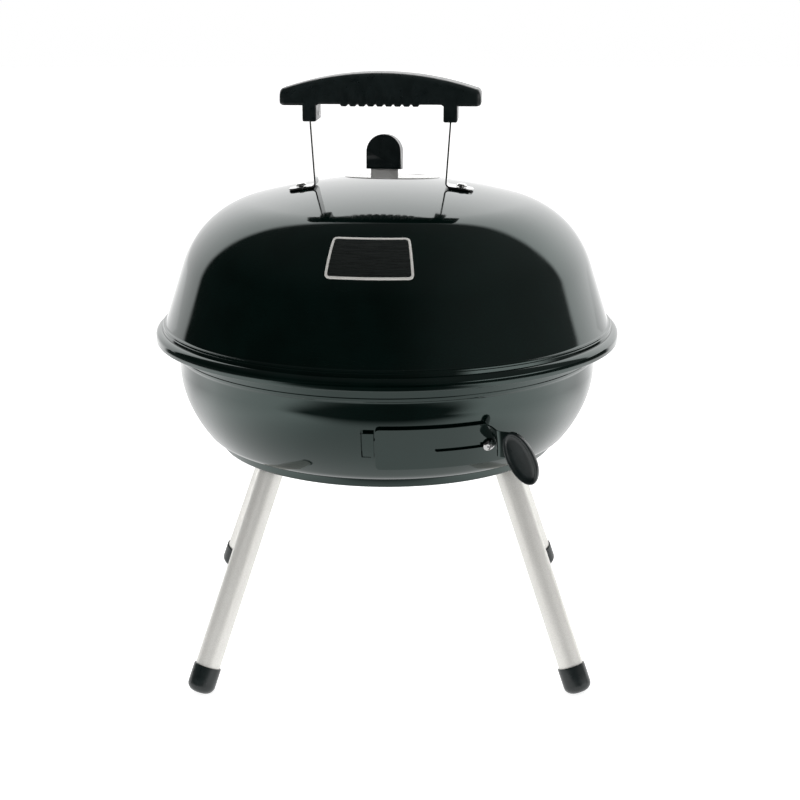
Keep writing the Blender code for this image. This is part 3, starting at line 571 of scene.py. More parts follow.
def bowl_axis(azimuth, z):
    """The bowl's outward normal in space."""
    return (bowl_point(azimuth, z, 0.01) - bowl_point(azimuth, z)).normalized()


def leg_frames():
    """Name, foot centre and upward axis of each leg."""
    frames = []
    for side_x, word_x in ((-1.0, "left"), (1.0, "right")):
        for side_y, word_y in ((-1.0, "front"), (1.0, "rear")):
            axis = Vector((-side_x * LEAN_X, -side_y * LEAN_Y, 1.0)).normalized()
            foot = Vector((side_x * FOOT_X + LEG_SHIFT, side_y * FOOT_Y, 0.0))
            frames.append((f"{word_y}_{word_x}", foot, axis))
    return frames


def bowl_line(bead):
    """The bowl's outer line, from the middle of its floor to the edge of its rim."""
    base_r = BASE_RADIUS - BASE_ROUND
    seat_start, seat_step = 0.098, 0.0012
    line = [(0.0, BOWL_FLOOR), (0.035, BOWL_FLOOR), (0.070, BOWL_FLOOR)]
    rows = int((base_r - seat_start) / seat_step)
    line += [(seat_start + seat_step * k, BOWL_FLOOR) for k in range(rows)]
    line += arc((base_r, BOWL_FLOOR + BASE_ROUND), BASE_ROUND, -90.0, 0.0, 6)
    normal = bowl_normal(BOWL_SIDE_START)
    start_r = bowl_radius(BOWL_SIDE_START)
    centre = (start_r - HEEL_RADIUS * normal.x, BOWL_SIDE_START - HEEL_RADIUS * normal.y)
    heel = arc(centre, HEEL_RADIUS, HEEL_END, math.degrees(math.atan2(normal.y, normal.x)), 14)
    line.append((BASE_RADIUS, heel[0][1] - 0.0006))
    line += heel[:-1]
    start = math.asin(((BOWL_WAIST_Z - BOWL_SIDE_START) / BOWL_DEPTH) ** (BOWL_POWER / 2.0))
    steps = 56
    for i in range(steps + 1):
        t = start * (1.0 - i / steps)
        line.append((BOWL_RADIUS * math.cos(t) ** (2.0 / BOWL_POWER),
                     BOWL_WAIST_Z - BOWL_DEPTH * math.sin(t) ** (2.0 / BOWL_POWER)))
    line.append((BOWL_RADIUS, FLARE_Z - 0.0004))
    z = BEAD_LOW - BEAD_SOFT
    while z < BEAD_HIGH + BEAD_SOFT:
        rise = smooth(z, BEAD_LOW - BEAD_SOFT, BEAD_LOW) * smooth(z, BEAD_HIGH + BEAD_SOFT, BEAD_HIGH)
        line.append((BOWL_RADIUS + (z - FLARE_Z) * math.tan(FLARE_LEAN) + bead * rise, z))
        z += BEAD_SOFT / 3.0
    flare_top = BOWL_RIM_UNDER - BOWL_RIM_FILLET * (1.0 - math.sin(FLARE_LEAN))
    flare_r = BOWL_RADIUS + (flare_top - FLARE_Z) * math.tan(FLARE_LEAN)
    fillet = (flare_r + BOWL_RIM_FILLET * math.cos(FLARE_LEAN), BOWL_RIM_UNDER - BOWL_RIM_FILLET)
    line += arc(fillet, BOWL_RIM_FILLET, 180.0 - math.degrees(FLARE_LEAN), 90.0, 10)
    lip_round, lip_drop = 0.002, 0.003
    line += arc((BOWL_RIM_RADIUS - lip_round, BOWL_RIM_UNDER - lip_round), lip_round, 90.0, 0.0, 5)
    line.append((BOWL_RIM_RADIUS, BOWL_RIM_UNDER - lip_drop))
    return line


def pressed(point, lift):
    """Pushes a point of the bowl's floor up to the flat seat of the leg below it."""
    for _, foot, axis in leg_frames():
        rel = point - foot
        along = rel.dot(axis)
        away = (rel - axis * along).length
        seat = LEG_SEAT + lift
        edge = SEAT_RADIUS + lift
        if along < seat and away < edge + SEAT_SOFT:
            return point + axis * ((seat - along) * smooth(away, edge + SEAT_SOFT, edge - CLEARANCE))
    return point


def make_bowl(enamel):
    """The bowl, with a bead under its rim, pressed leg seats and three damper holes."""
    outer = bowl_line(BEAD_RISE)
    inner = offset_line(bowl_line(0.0), SHEET)

    def shape(point, index):
        return pressed(point, 0.0 if index < len(outer) else SHEET)

    bowl = new_object("bowl_shell", turned(outer + inner[::-1], BOWL_SEGMENTS, shape), enamel)
    holes = [placed(rod(VENT_RADIUS, -0.006, 0.006), bowl_point(a, VENT_Z), bowl_axis(a, VENT_Z))
             for a in VENT_AZIMUTHS]
    carve(bowl, merged(*holes))
    piece(bowl, "bowl", "black_enamel", "bowl")


def shoulder_centre():
    """Height of the centre of the lid's shoulder arc, and of its crown's sphere."""
    crown_z = CROWN_TOP - CROWN_RADIUS
    reach = CROWN_RADIUS - SHOULDER_RADIUS
    return crown_z + math.sqrt(reach ** 2 - SHOULDER_R ** 2), crown_z


def lid_line(detail):
    """The lid's outer line; detail adds the stepped ledge and the rolled hem of the lip."""
    shoulder_z, crown_z = shoulder_centre()
    join = math.degrees(math.atan2(shoulder_z - crown_z, SHOULDER_R))
    lean = math.degrees(WALL_LEAN)
    line = arc((0.0, crown_z), CROWN_RADIUS, 90.0, join, 26)
    line[0] = (0.0, CROWN_TOP)
    shoulder = arc((SHOULDER_R, shoulder_z), SHOULDER_RADIUS, join, lean, 36)
    line += shoulder[1:]
    foot_r = shoulder[-1][0] + (shoulder[-1][1] - WALL_FOOT_Z) * math.tan(WALL_LEAN)
    for k in range(1, 10):
        share = k / 10.0
        line.append((shoulder[-1][0] + (foot_r - shoulder[-1][0]) * share,
                     shoulder[-1][1] + (WALL_FOOT_Z - shoulder[-1][1]) * share))
    fillet = (foot_r + LEDGE_FILLET * math.cos(WALL_LEAN), WALL_FOOT_Z + LEDGE_FILLET * math.sin(WALL_LEAN))
    line += arc(fillet, LEDGE_FILLET, 180.0 + lean, 275.0 if detail else 285.0, 8)
    if detail:
        ledge_r, ledge_z = line[-1]
        line += arc((ledge_r + 0.0003, ledge_z - 0.0005), 0.0005, 80.0, 10.0, 4)
        line += arc((ledge_r + 0.0015, ledge_z - 0.0010), 0.0007, 190.0, 265.0, 4)
    lip = (RIM_RADIUS - LIP_ROUND, RIM_Z)
    line += arc(lip, LIP_ROUND, 90.0, 0.0, 16)
    bottom = RIM_Z - LIP_DEPTH
    if detail:
        line.append((RIM_RADIUS, bottom + LIP_HEM))
        line += arc((RIM_RADIUS - LIP_HEM, bottom + LIP_HEM), LIP_HEM, 0.0, -90.0, 4)[1:]
    else:
        line.append((RIM_RADIUS, bottom))
    return line


def crown_point(x, y, offset=0.0):
    """A point above the lid's crown at a plan position, and the outward normal there."""
    centre = Vector((0.0, 0.0, CROWN_TOP - CROWN_RADIUS))
    height = math.sqrt(CROWN_RADIUS ** 2 - x * x - y * y)
    normal = Vector((x, y, height)) / CROWN_RADIUS
    return centre + normal * (CROWN_RADIUS + offset), normal


def vent_holes(first):
    """Three rods on the vent's hole circle, the first at an azimuth in radians."""
    rods = []
    for k in range(3):
        angle = first + math.radians(120.0 * k)
        hole = rod(VENT_HOLE_RADIUS, -0.006, 0.006)
        shift = (VENT_HOLE_ORBIT * math.sin(angle), -VENT_HOLE_ORBIT * math.cos(angle), 0.0)
        bmesh.ops.translate(hole, vec=shift, verts=hole.verts)
        rods.append(hole)
    return merged(*rods)


def make_lid(enamel):
    """The lid, with its three vent holes."""
    outer = lid_line(True)
    inner = offset_line(lid_line(False), -SHEET)
    lid = new_object("lid_shell", turned(outer + inner[::-1], LID_SEGMENTS), enamel)
    centre, normal = crown_point(*VENT_CENTRE)
    carve(lid, placed(vent_holes(TAB_AZIMUTH + math.radians(60.0)), centre, normal))
    piece(lid, "lid", "black_enamel", "lid")


# ---- legs

def make_legs(silver, plastic):
    """Four tube legs, each with a moulded cap ground flat on the floor."""
    top = LEG_SEAT - CLEARANCE
    bore = LEG_RADIUS - LEG_WALL
    edge = 0.0004
    tube = [(bore, LEG_START), (LEG_RADIUS, LEG_START)]
    tube += [(LEG_RADIUS, top - edge), (LEG_RADIUS - edge, top), (bore + edge, top), (bore, top - edge)]
    socket = LEG_RADIUS + CLEARANCE
    hem = 0.0005
    cap = [(0.0, CAP_END)]
    cap += arc((CAP_RADIUS - CAP_ROUND, CAP_END + CAP_ROUND), CAP_ROUND, -90.0, 0.0, 12)
    cap += arc((CAP_RADIUS - hem, CAP_TOP - hem), hem, 0.0, 90.0, 4)
    cap += [(socket, CAP_TOP), (socket, LEG_START - CLEARANCE), (0.0, LEG_START - CLEARANCE)]
    for word, foot, axis in leg_frames():
        leg = new_object(f"leg_tube_{word}", placed(turned(tube, 64), foot, axis), silver)
        piece(leg, "bowl", "silver_paint", f"leg_{word}")
        bm = placed(turned(cap, 64), foot, axis)
        geom = bm.verts[:] + bm.edges[:] + bm.faces[:]
        cut = bmesh.ops.bisect_plane(bm, geom=geom, plane_co=(0.0, 0.0, 0.0), plane_no=(0.0, 0.0, -1.0),
                                     clear_outer=True)
        edges = [g for g in cut["geom_cut"] if isinstance(g, bmesh.types.BMEdge)]
        bmesh.ops.contextual_create(bm, geom=edges)
        foot_cap = new_object(f"leg_foot_{word}", bm, plastic)
        piece(foot_cap, "bowl", "black_plastic", f"leg_cap_{word}")


# ---- bowl damper

def radial_block(outline):
    """A cutter drawn radially through the bowl's side from a rounded (azimuth, z) outline."""
    reach = 0.05
    return loft([[around(azimuth, bowl_radius(z) + offset, z) for azimuth, z in outline]
                 for offset in (-reach, reach)])


def degrees_outline(corners):
    """A rounded outline whose first coordinate is an azimuth and whose radii are in metres."""
    scale = math.radians(1.0) * BOWL_RADIUS
    outline = rounded_outline([(azimuth * scale, z, radius) for azimuth, z, radius in corners])
    return [(x / scale, z) for x, z in outline]


def strip_point(azimuth, z, offset=0.0):
    """A point on the strip's middle, a cone that stands off the bowl's side at one height."""
    normal = bowl_normal(STRIP_NEAR_Z)
    r = bowl_radius(STRIP_NEAR_Z) - (z - STRIP_NEAR_Z) * normal.y / normal.x
    out = STRIP_STAND_OFF + offset
    return around(azimuth, r + normal.x * out, z + normal.y * out)


def make_damper_strip(enamel):
    """The strip with its tongue, slot and rounded corners, and the lug bent out at its right end."""
    rows = []
    for i in range(15):
        z = STRIP_BOTTOM - 0.001 + (STRIP_TOP - STRIP_BOTTOM + 0.002) * i / 14
        rows.append([strip_point(TONGUE_LEFT - 0.5 + k, z) for k in range(41)])
    strip = sheet("damper_strip", rows, STRIP_SHEET, enamel)
    wide, mid, fine = 0.0035, 0.0020, 0.0010
    outline = degrees_outline([
        (STRIP_LEFT, STRIP_TOP, wide), (STRIP_LEFT, TONGUE_HIGH, fine), (TONGUE_LEFT, TONGUE_HIGH, mid),
        (TONGUE_LEFT, TONGUE_LOW, mid), (STRIP_LEFT, TONGUE_LOW, fine), (STRIP_LEFT, STRIP_BOTTOM, wide),
        (STRIP_RIGHT_BOTTOM, STRIP_BOTTOM, mid), (STRIP_RIGHT_TOP, STRIP_TOP, mid)])
    carve(strip, radial_block(outline), "INTERSECT")
    end = SLOT_HALF * 0.98
    slot = degrees_outline([
        (SLOT_LEFT, SLOT_MIDDLE_Z - SLOT_HALF, end), (SLOT_RIGHT, SLOT_MIDDLE_Z - SLOT_HALF, end),
        (SLOT_RIGHT, SLOT_MIDDLE_Z + SLOT_HALF, end), (SLOT_LEFT, SLOT_MIDDLE_Z + SLOT_HALF, end)])
    carve(strip, radial_block(slot))
    boolean(strip, make_lug(), "UNION")
    piece(strip, "bowl_damper", "black_enamel", "damper_slide")


def lug_way():
    """The direction in which the lug leaves the bowl."""
    return Vector((math.cos(LUG_TURN), math.sin(LUG_TURN), 0.0))


def make_lug():
    """The lug: out of the strip's right end in a bend, then straight to the finger plate. It is a hair
    thinner than the strip, so that their faces don't coincide where they join."""
    steps = 6
    rows = []
    for k in range(steps + 1):
        z = LUG_LOW + (LUG_HIGH + LUG_RISE - LUG_LOW) * k / steps
        share = (STRIP_TOP - z) / (STRIP_TOP - STRIP_BOTTOM)
        edge = STRIP_RIGHT_TOP + (STRIP_RIGHT_BOTTOM - STRIP_RIGHT_TOP) * share
        start = strip_point(edge - 0.4, z)
        bend = strip_point(edge + 0.3, z, 0.0012)
        corner = Vector((*LUG_CORNER, LUG_LOW + (LUG_HIGH - LUG_LOW) * k / steps))
        out = bend.lerp(corner, 0.30)
        row = [strip_point(edge + a, z) for a in (-1.6, -1.0)]
        row += corner_curve(start, bend, out, 5)
        row += corner_curve(corner.lerp(out, 0.30), corner, corner + lug_way() * 0.0030, 5)
        row.append(corner + lug_way() * LUG_REACH)
        rows.append(row)
    return sheet("damper_lug", rows, STRIP_SHEET - 0.0001, None)


def make_paddle(plastic):
    """Oval finger plate: rounded edge, raised rim and dished face, pushed over the lug."""
    thick = PADDLE_THICK
    rings = [(0.0030, 0.0), (0.0012, 0.0), (0.0005, 0.0003), (0.0001, 0.0009), (0.0, 0.0016)]
    rings += [(0.0, thick - 0.0012), (0.0003, thick - 0.0004), (0.0009, thick), (0.0017, thick)]
    rings += [(0.0023, thick - 0.0003), (0.0028, thick - 0.0010), (0.0036, thick - 0.0014)]
    rings.append((0.0060, thick - 0.0016))
    angles = [2.0 * math.pi * k / 72 for k in range(72)]
    loops = [[((PADDLE_HALF_WIDTH - inset) * math.cos(a), thick / 2.0 - depth,
               (PADDLE_HALF_LENGTH - inset) * math.sin(a)) for a in angles] for inset, depth in rings]
    place = Matrix.Translation(Vector((*LUG_CORNER, PADDLE_Z)) + lug_way() * PADDLE_REACH)
    spin = Matrix.Rotation(LUG_TURN, 4, "Z") @ Matrix.Rotation(-PADDLE_TILT, 4, "Y")
    paddle = new_object("damper_finger_plate", moved(loft(loops), place @ spin), plastic)
    reach = LUG_REACH + CLEARANCE
    behind = 0.04
    slot = box(behind + reach, STRIP_SHEET + 2.0 * CLEARANCE, LUG_HIGH - LUG_LOW + 2.0 * CLEARANCE,
               ((reach - behind) / 2.0, 0.0, (LUG_HIGH + LUG_LOW) / 2.0))
    matrix = Matrix.Translation((*LUG_CORNER, 0.0)) @ Matrix.Rotation(LUG_TURN, 4, "Z")
    carve(paddle, moved(slot, matrix))
    piece(paddle, "bowl_damper", "black_plastic", "damper_paddle")


def make_keeper(enamel):
    """A small plate over the strip's tongue, standing off the bowl on a foot along its lower edge, with
    an L-shaped slit near its left and lower edges."""
    low, high, left, right = 0.1968, 0.2186, -6.6, -3.3
    near, clear = 0.0007, 0.0029
    foot, ramp, wall = 0.0014, 0.0012, 0.15
    steps = 34
    rows = []
    for i in range(steps + 1):
        z = low + (high - low) * i / steps
        lift = near + (clear - near) * smooth(z, low + foot, low + foot + ramp)
        row = [bowl_point(left, z, near)]
        row += [bowl_point(left + wall + (right - left - wall) * k / 7.0, z, lift) for k in range(8)]
        rows.append(row)
    keeper = sheet("damper_hook_plate", rows, 0.001, enamel)
    outline = [(left, low, 0.0012), (right, low, 0.0006), (right, high, 0.0006), (left, high, 0.0012)]
    carve(keeper, radial_block(degrees_outline(outline)), "INTERSECT")
    start, end, floor = left + 0.16, left + 0.46, low + 0.0019
    upright = [(start, floor), (end, floor), (end, high + 0.001), (start, high + 0.001)]
    start, end = left + 0.40, left + 2.6
    level = [(start, floor), (end, floor), (end, floor + 0.0005), (start, floor + 0.0007)]
    for corners in (upright, level):
        carve(keeper, radial_block(degrees_outline([(a, z, 0.0001) for a, z in corners])))
    piece(keeper, "bowl", "black_enamel", "damper_keeper")


def make_damper_screw(chrome):
    """Domed cross-head screw that holds the strip."""
    shank, tip, radius, edge, dome = 0.0018, -0.0072, 0.0048, 0.0002, 0.0022
    under = STRIP_STAND_OFF + STRIP_SHEET / 2.0 + CLEARANCE
    side = under + 0.0008
    outline = [(0.0, tip), (shank, tip), (shank, under), (radius - edge, under), (radius, under + edge)]
    outline.append((radius, side))
    outline += [(radius * math.cos(a), side + dome * math.sin(a))
                for a in (math.radians(10.0 * k) for k in range(1, 9))]
    outline.append((0.0, side + dome))
    point = bowl_point(SCREW_AZIMUTH, SLOT_MIDDLE_Z)
    axis = bowl_axis(SCREW_AZIMUTH, SLOT_MIDDLE_Z)
    screw = new_object("damper_screw_head", placed(turned(outline, 48), point, axis), chrome)
    spin = math.radians(20.0)
    long, narrow, deep = 0.0052, 0.0010, 0.0034
    for size_x, size_y in ((long, narrow), (narrow, long)):
        slot = box(size_x, size_y, deep, (0.0, 0.0, under + 0.0033))
        carve(screw, placed(slot, point, axis, spin))
    piece(screw, "bowl", "chrome_plate", "damper_screw")


# ---- handle

def handle_matrix():
    """The handle's own turned axes."""
    return Matrix.Translation((*HANDLE_CENTRE, 0.0)) @ Matrix.Rotation(LID_TURN, 4, "Z")


def strap_screw_place(side):
    """Where a strap's screw goes through the crown, and the normal there."""
    spot = handle_matrix() @ Vector((side * (STRAP_BASE_X + FOOT_LENGTH * 0.55), 0.0, 0.0))
    return crown_point(spot.x, spot.y)


def make_strap(word, side, chrome):
    """Bent spring-steel strap: a rounded foot on the crown, a bend and an upright into the post."""
    matrix = handle_matrix()
    gap, bend, round_end, hole_radius = 0.0004, 0.0032, 0.005, 0.0023
    lift = gap + STRAP_SHEET / 2.0
    line = []
    steps = 16
    for k in range(steps + 1):
        reach = FOOT_LENGTH + (bend - FOOT_LENGTH) * k / steps
        spot = matrix @ Vector((side * (STRAP_BASE_X + reach), 0.0, 0.0))
        line.append((STRAP_BASE_X + reach, crown_point(spot.x, spot.y, lift)[0].z, FOOT_LENGTH - reach))
    foot_z = line[-1][1]
    for x, z in arc((STRAP_BASE_X + bend, foot_z + bend), bend, 270.0, 180.0, 8)[1:]:
        line.append((x, z, FOOT_LENGTH))
    line += [(STRAP_TOP_X, POST_BOTTOM - 0.001, FOOT_LENGTH), (STRAP_TOP_X, STRAP_TOP_Z, FOOT_LENGTH)]
    across = 10
    rows = []
    for x, z, along in line:
        short = max(round_end - along, 0.0)
        half = STRAP_WIDTH / 2.0 - round_end + math.sqrt(max(round_end ** 2 - short ** 2, 0.0))
        rows.append([matrix @ Vector((side * x, half * (2.0 * j / across - 1.0), z))
                     for j in range(across + 1)])
    strap = sheet(f"handle_strap_{word}", rows, STRAP_SHEET, chrome)
    point, axis = strap_screw_place(side)
    carve(strap, placed(rod(hole_radius, -0.004, 0.006), point, axis))
    piece(strap, "lid", "chrome_plate", f"strap_{word}")


def grip_section(x):
    """The grip's rounded cross-section at a distance from its middle."""
    run = GRIP_HALF - GRIP_EDGE
    rise = GRIP_TOP - GRIP_END_TOP
    radius = (run ** 2 + rise ** 2) / (2.0 * rise)
    high = GRIP_TOP - radius + math.sqrt(radius ** 2 - min(abs(x), run) ** 2)
    inside = STRAP_TOP_X - POST_WIDTH / 2.0
    low = GRIP_UNDER + 0.001 * smooth(abs(x), inside, inside - 0.002)
    ribs = RIB_COUNT * RIB_PITCH / 2.0
    if abs(x) < ribs:
        phase = ((x + ribs) / RIB_PITCH) % 1.0
        low -= RIB_DEPTH * smooth(phase, 0.02, 0.26) * smooth(phase, 0.98, 0.74)
    beyond = max(abs(x) - run, 0.0) / GRIP_EDGE
    inset = GRIP_EDGE * (1.0 - math.sqrt(max(1.0 - beyond ** 2, 0.0)))
    half = GRIP_DEPTH / 2.0 - inset
    high -= inset
    low += inset * 0.5
    top_round, low_round = 0.0045, 0.0018
    section = arc((half - top_round, high - top_round), top_round, 0.0, 90.0, 7)
    section += arc((-half + top_round, high - top_round), top_round, 90.0, 180.0, 7)
    section += arc((-half + low_round, low + low_round), low_round, 180.0, 270.0, 4)
    section += arc((half - low_round, low + low_round), low_round, 270.0, 360.0, 4)
    return [(x, y, z) for y, z in section]


def make_grip(plastic):
    """The moulded grip: arched back, ribbed belly, two posts with a pocket for each strap."""
    matrix = handle_matrix()
    run = GRIP_HALF - GRIP_EDGE
    stations = [-run + run * 2.0 * k / 300 for k in range(301)]
    ends = [GRIP_HALF - GRIP_EDGE * (1.0 - math.sin(math.radians(a))) for a in (15, 30, 45, 60, 72, 84)]
    stations = [-x for x in reversed(ends)] + stations + ends
    grip = new_object("handle_grip", moved(loft([grip_section(x) for x in stations]), matrix), plastic)
    height = GRIP_UNDER + 0.006 - POST_BOTTOM
    for x in (-STRAP_TOP_X, STRAP_TOP_X):
        post = box(POST_WIDTH, GRIP_DEPTH, height, (x, 0.0, POST_BOTTOM + height / 2.0), 0.0012)
        carve(grip, moved(post, matrix), "UNION")
        carve(grip, moved(pocket(STRAP_SHEET, STRAP_WIDTH, x, 0.0, POST_BOTTOM, STRAP_TOP_Z), matrix))
    piece(grip, "lid", "black_plastic", "grip")


# ---- nameplate

def shoulder_point(azimuth, tilt, offset):
    """A point off the lid's shoulder at a tilt angle of its arc."""
    radius = SHOULDER_RADIUS + offset
    return around(azimuth, SHOULDER_R + radius * math.cos(tilt), shoulder_centre()[0] + radius * math.sin(tilt))


def plate_outline(inset):
    """The nameplate's rounded outline, inset all round, in metres from its middle."""
    low, high, middle_r = plate_tilts()
    side = PLATE_SPAN * math.radians(1.0) * middle_r - inset
    half = (high - low) / 2.0 * SHOULDER_RADIUS - inset
    radius = 0.004 - inset
    steps = 6
    corners = rounded_outline([(-side, -half, radius), (side, -half, radius), (side, half, radius),
                               (-side, half, radius)], steps)
    outline = []
    for i, point in enumerate(corners):
        outline.append(point)
        if i % (steps + 1) == steps:
            after = corners[(i + 1) % len(corners)]
            outline += [point.lerp(after, k / 24.0) for k in range(1, 24)]
    return outline


def plate_loop(inset, offset):
    """The plate's outline on the shoulder, at a distance off it."""
    low, high, middle_r = plate_tilts()
    return [shoulder_point(PLATE_AZIMUTH + math.degrees(x / middle_r),
                           (low + high) / 2.0 + y / SHOULDER_RADIUS, offset) for x, y in plate_outline(inset)]


def plate_tilts():
    """The nameplate's lower and upper tilt angles, and the shoulder's radius at its middle."""
    shoulder_z = shoulder_centre()[0]
    low = math.asin((PLATE_LOW - shoulder_z) / SHOULDER_RADIUS)
    high = math.asin((PLATE_HIGH - shoulder_z) / SHOULDER_RADIUS)
    return low, high, SHOULDER_R + SHOULDER_RADIUS * math.cos((low + high) / 2.0)


def make_nameplate(finish, silver):
    """A blank rounded black plate with a raised silver border, following the shoulder."""
    low, high, _ = plate_tilts()
    margin, thick, lap, reach = 0.02, 0.0008, 0.0004, 0.03
    rows = []
    for i in range(17):
        tilt = low - margin + (high - low + 2.0 * margin) * i / 16
        rows.append([shoulder_point(PLATE_AZIMUTH - PLATE_SPAN - 1.0 + 0.9 * j, tilt, PLATE_GAP + thick / 2.0)
                     for j in range(30)])
    plate = sheet("lid_nameplate", rows, thick, finish)
    inset = PLATE_BORDER - lap
    carve(plate, loft([plate_loop(inset, -reach), plate_loop(inset, reach)]), "INTERSECT")
    piece(plate, "lid", "nameplate_grey", "nameplate")
    edge, high = 0.0003, 0.0012
    section = [(0.0, 0.0), (0.0, high - edge), (edge, high), (PLATE_BORDER - edge, high)]
    section += [(PLATE_BORDER, high - edge), (PLATE_BORDER, 0.0)]
    bm = bmesh.new()
    rings = [[bm.verts.new(p) for p in plate_loop(inset, PLATE_GAP + rise)] for inset, rise in section]
    for one, two in zip(rings, rings[1:] + rings[:1]):
        skin_between(bm, one, two)
    piece(new_object("lid_nameplate_border", bm, silver), "lid", "silver_paint")


# ---- lid vent

def disc_height(r):
    """Height of the disc's middle above the crown's tangent plane at the rivet."""
    radius = CROWN_RADIUS + VENT_DISC_GAP
    return math.sqrt(radius ** 2 - r * r) - CROWN_RADIUS


def make_vent(satin, plastic):
    """The vent disc with a turned edge and an upright tab, and the moulded knob on the tab. The lid's gloss
    doesn't mirror them."""
    centre, normal = crown_point(*VENT_CENTRE)
    half = VENT_SHEET / 2.0
    straight = VENT_DISC_RADIUS - half
    upper = [(straight * k / 12.0, disc_height(straight * k / 12.0) + half) for k in range(13)]
    edge = arc((straight, disc_height(straight)), half, 60.0, -60.0, 4)
    lower = [(r, z - VENT_SHEET) for r, z in reversed(upper)]
    disc = new_object("vent_plate", placed(turned(upper + edge + lower, 160), centre, normal), satin)
    tab_y = VENT_DISC_RADIUS - VENT_SHEET * 1.2
    foot = disc_height(tab_y) - half * 0.5
    tab = box(TAB_WIDTH, VENT_SHEET, TAB_TOP - foot, (0.0, -tab_y, (TAB_TOP + foot) / 2.0), 0.0002)
    carve(disc, placed(tab, centre, normal, TAB_AZIMUTH), "UNION")
    carve(disc, placed(vent_holes(TAB_AZIMUTH), centre, normal))
    disc.visible_glossy = False
    piece(disc, "lid_vent", "chrome_plate", "vent_disc")

    foot_half = KNOB_HALF + 0.0003
    outline = [(foot_half, KNOB_BOTTOM)]
    outline += arc((0.0, KNOB_TOP - KNOB_HALF), KNOB_HALF, 0.0, 180.0, 36)
    outline.append((-foot_half, KNOB_BOTTOM))
    knob_bm = prism(outline, KNOB_DEPTH)
    rim = [e for e in knob_bm.edges if abs(e.verts[0].co.y - e.verts[1].co.y) < 1e-6]
    bmesh.ops.bevel(knob_bm, geom=rim, offset=0.0022, segments=6, profile=0.5, affect="EDGES")
    bmesh.ops.translate(knob_bm, vec=(0.0, -tab_y, 0.0), verts=knob_bm.verts)
    knob = new_object("vent_finger_knob", placed(knob_bm, centre, normal, TAB_AZIMUTH), plastic)
    slot = pocket(TAB_WIDTH, VENT_SHEET, 0.0, -tab_y, KNOB_BOTTOM, TAB_TOP)
    carve(knob, placed(slot, centre, normal, TAB_AZIMUTH))
    knob.visible_glossy = False
    piece(knob, "lid_vent", "black_plastic", "vent_knob")


# ---- grates

def make_grate(name, body, radius, z, pitch, finish):
    """A wire hoop with parallel wires welded across it and one cross wire underneath."""
    curve = bpy.data.curves.new(name, "CURVE")
    curve.dimensions = "3D"
    curve.bevel_depth = WIRE_RADIUS
    curve.bevel_resolution = 4
    curve.use_fill_caps = True
    curve.materials.append(finish)

    def wire(points, thickness, closed):
        spline = curve.splines.new("POLY")
        spline.points.add(len(points) - 1)
        spline.use_cyclic_u = closed
        for point, place in zip(spline.points, points):
            point.co = (*place, 1.0)
            point.radius = thickness

    angles = [2.0 * math.pi * k / 96 for k in range(96)]
    wire([(radius * math.cos(a), radius * math.sin(a), z) for a in angles], 1.0, True)
    count = int((radius - 0.006) // pitch)
    for k in range(-count, count + 1):
        x = k * pitch
        reach = math.sqrt(radius ** 2 - x * x)
        wire([(x, -reach, z + 0.0006), (x, reach, z + 0.0006)], WIRE_THIN, False)
    wire([(-radius, 0.0005, z - 0.0008), (radius, 0.0005, z - 0.0008)], WIRE_THIN, False)
    piece(linked(name, curve), body, "plated_wire", body)


# ---- studio and camera

def calc(tree, operation, first, *others):
    """A Math operation over sockets or numbers, in turn."""
    for second in others or (None,):
        made = tree.nodes.new("ShaderNodeMath")
        made.operation = operation
        for socket, value in zip(made.inputs, (first, second)):
            if isinstance(value, (int, float)):
                socket.default_value = value
            elif value is not None:
                tree.links.new(value, socket)
        first = made.outputs["Value"]
    return first


def coordinates(tree, kind):
    """The X, Y and Z sockets of a texture coordinate."""
    place = tree.nodes.new("ShaderNodeTexCoord")
    split = tree.nodes.new("ShaderNodeSeparateXYZ")
    tree.links.new(place.outputs[kind], split.inputs["Vector"])
    return split.outputs["X"], split.outputs["Y"], split.outputs["Z"]


def make_world():
    """A white backdrop behind the grill, a low window at the front right and dim surroundings elsewhere;
    plain white for the camera."""
    world = bpy.data.worlds.new("studio")
    bpy.context.scene.world = world
    world.use_nodes = True
    tree = world.node_tree
    x, y, z = coordinates(tree, "Generated")
    turn = calc(tree, "ABSOLUTE", calc(tree, "SUBTRACT", calc(tree, "ARCTAN2", x, y), math.radians(6.0)))
    across = calc(tree, "POWER", calc(tree, "DIVIDE", turn, math.radians(62.0)), 4.0)
    above = calc(tree, "POWER", calc(tree, "DIVIDE", calc(tree, "MAXIMUM", z, 0.0), 0.745), 4.0)
    sheet_shape = remap(tree, calc(tree, "ADD", across, above), 1.0, 0.0, 0.85, 1.15)
    glow = calc(tree, "ADD", remap(tree, z, 1.2, 1.95, -0.1, 0.5), remap(tree, x, 0.0, 0.6, 0.2, 0.9))
    backdrop = calc(tree, "MULTIPLY", sheet_shape, glow)
    dim = calc(tree, "ADD", remap(tree, x, 0.03, 0.20, -0.1, 0.9), remap(tree, z, 0.0, 0.06, 0.3, 0.95))
    side = calc(tree, "ARCTAN2", x, calc(tree, "MULTIPLY", y, -1.0))
    window = calc(tree, "MULTIPLY", remap(tree, side, 0.0, 2.6, math.radians(32.0), math.radians(46.0)),
                  remap(tree, side, 1.0, 0.0, math.radians(72.0), math.radians(94.0)),
                  remap(tree, z, 1.0, 0.0, 0.13, 0.20))
    light = calc(tree, "ADD", backdrop, dim, window)
    rays = tree.nodes.new("ShaderNodeLightPath")
    shown = tree.nodes.new("ShaderNodeMix")
    tree.links.new(rays.outputs["Is Camera Ray"], shown.inputs[0])
    tree.links.new(light, shown.inputs[2])
    shown.inputs[3].default_value = 1.0
    background = tree.nodes["Background"]
    background.inputs["Color"].default_value = (1.0, 1.0, 1.0, 1.0)
    tree.links.new(shown.outputs[0], background.inputs["Strength"])


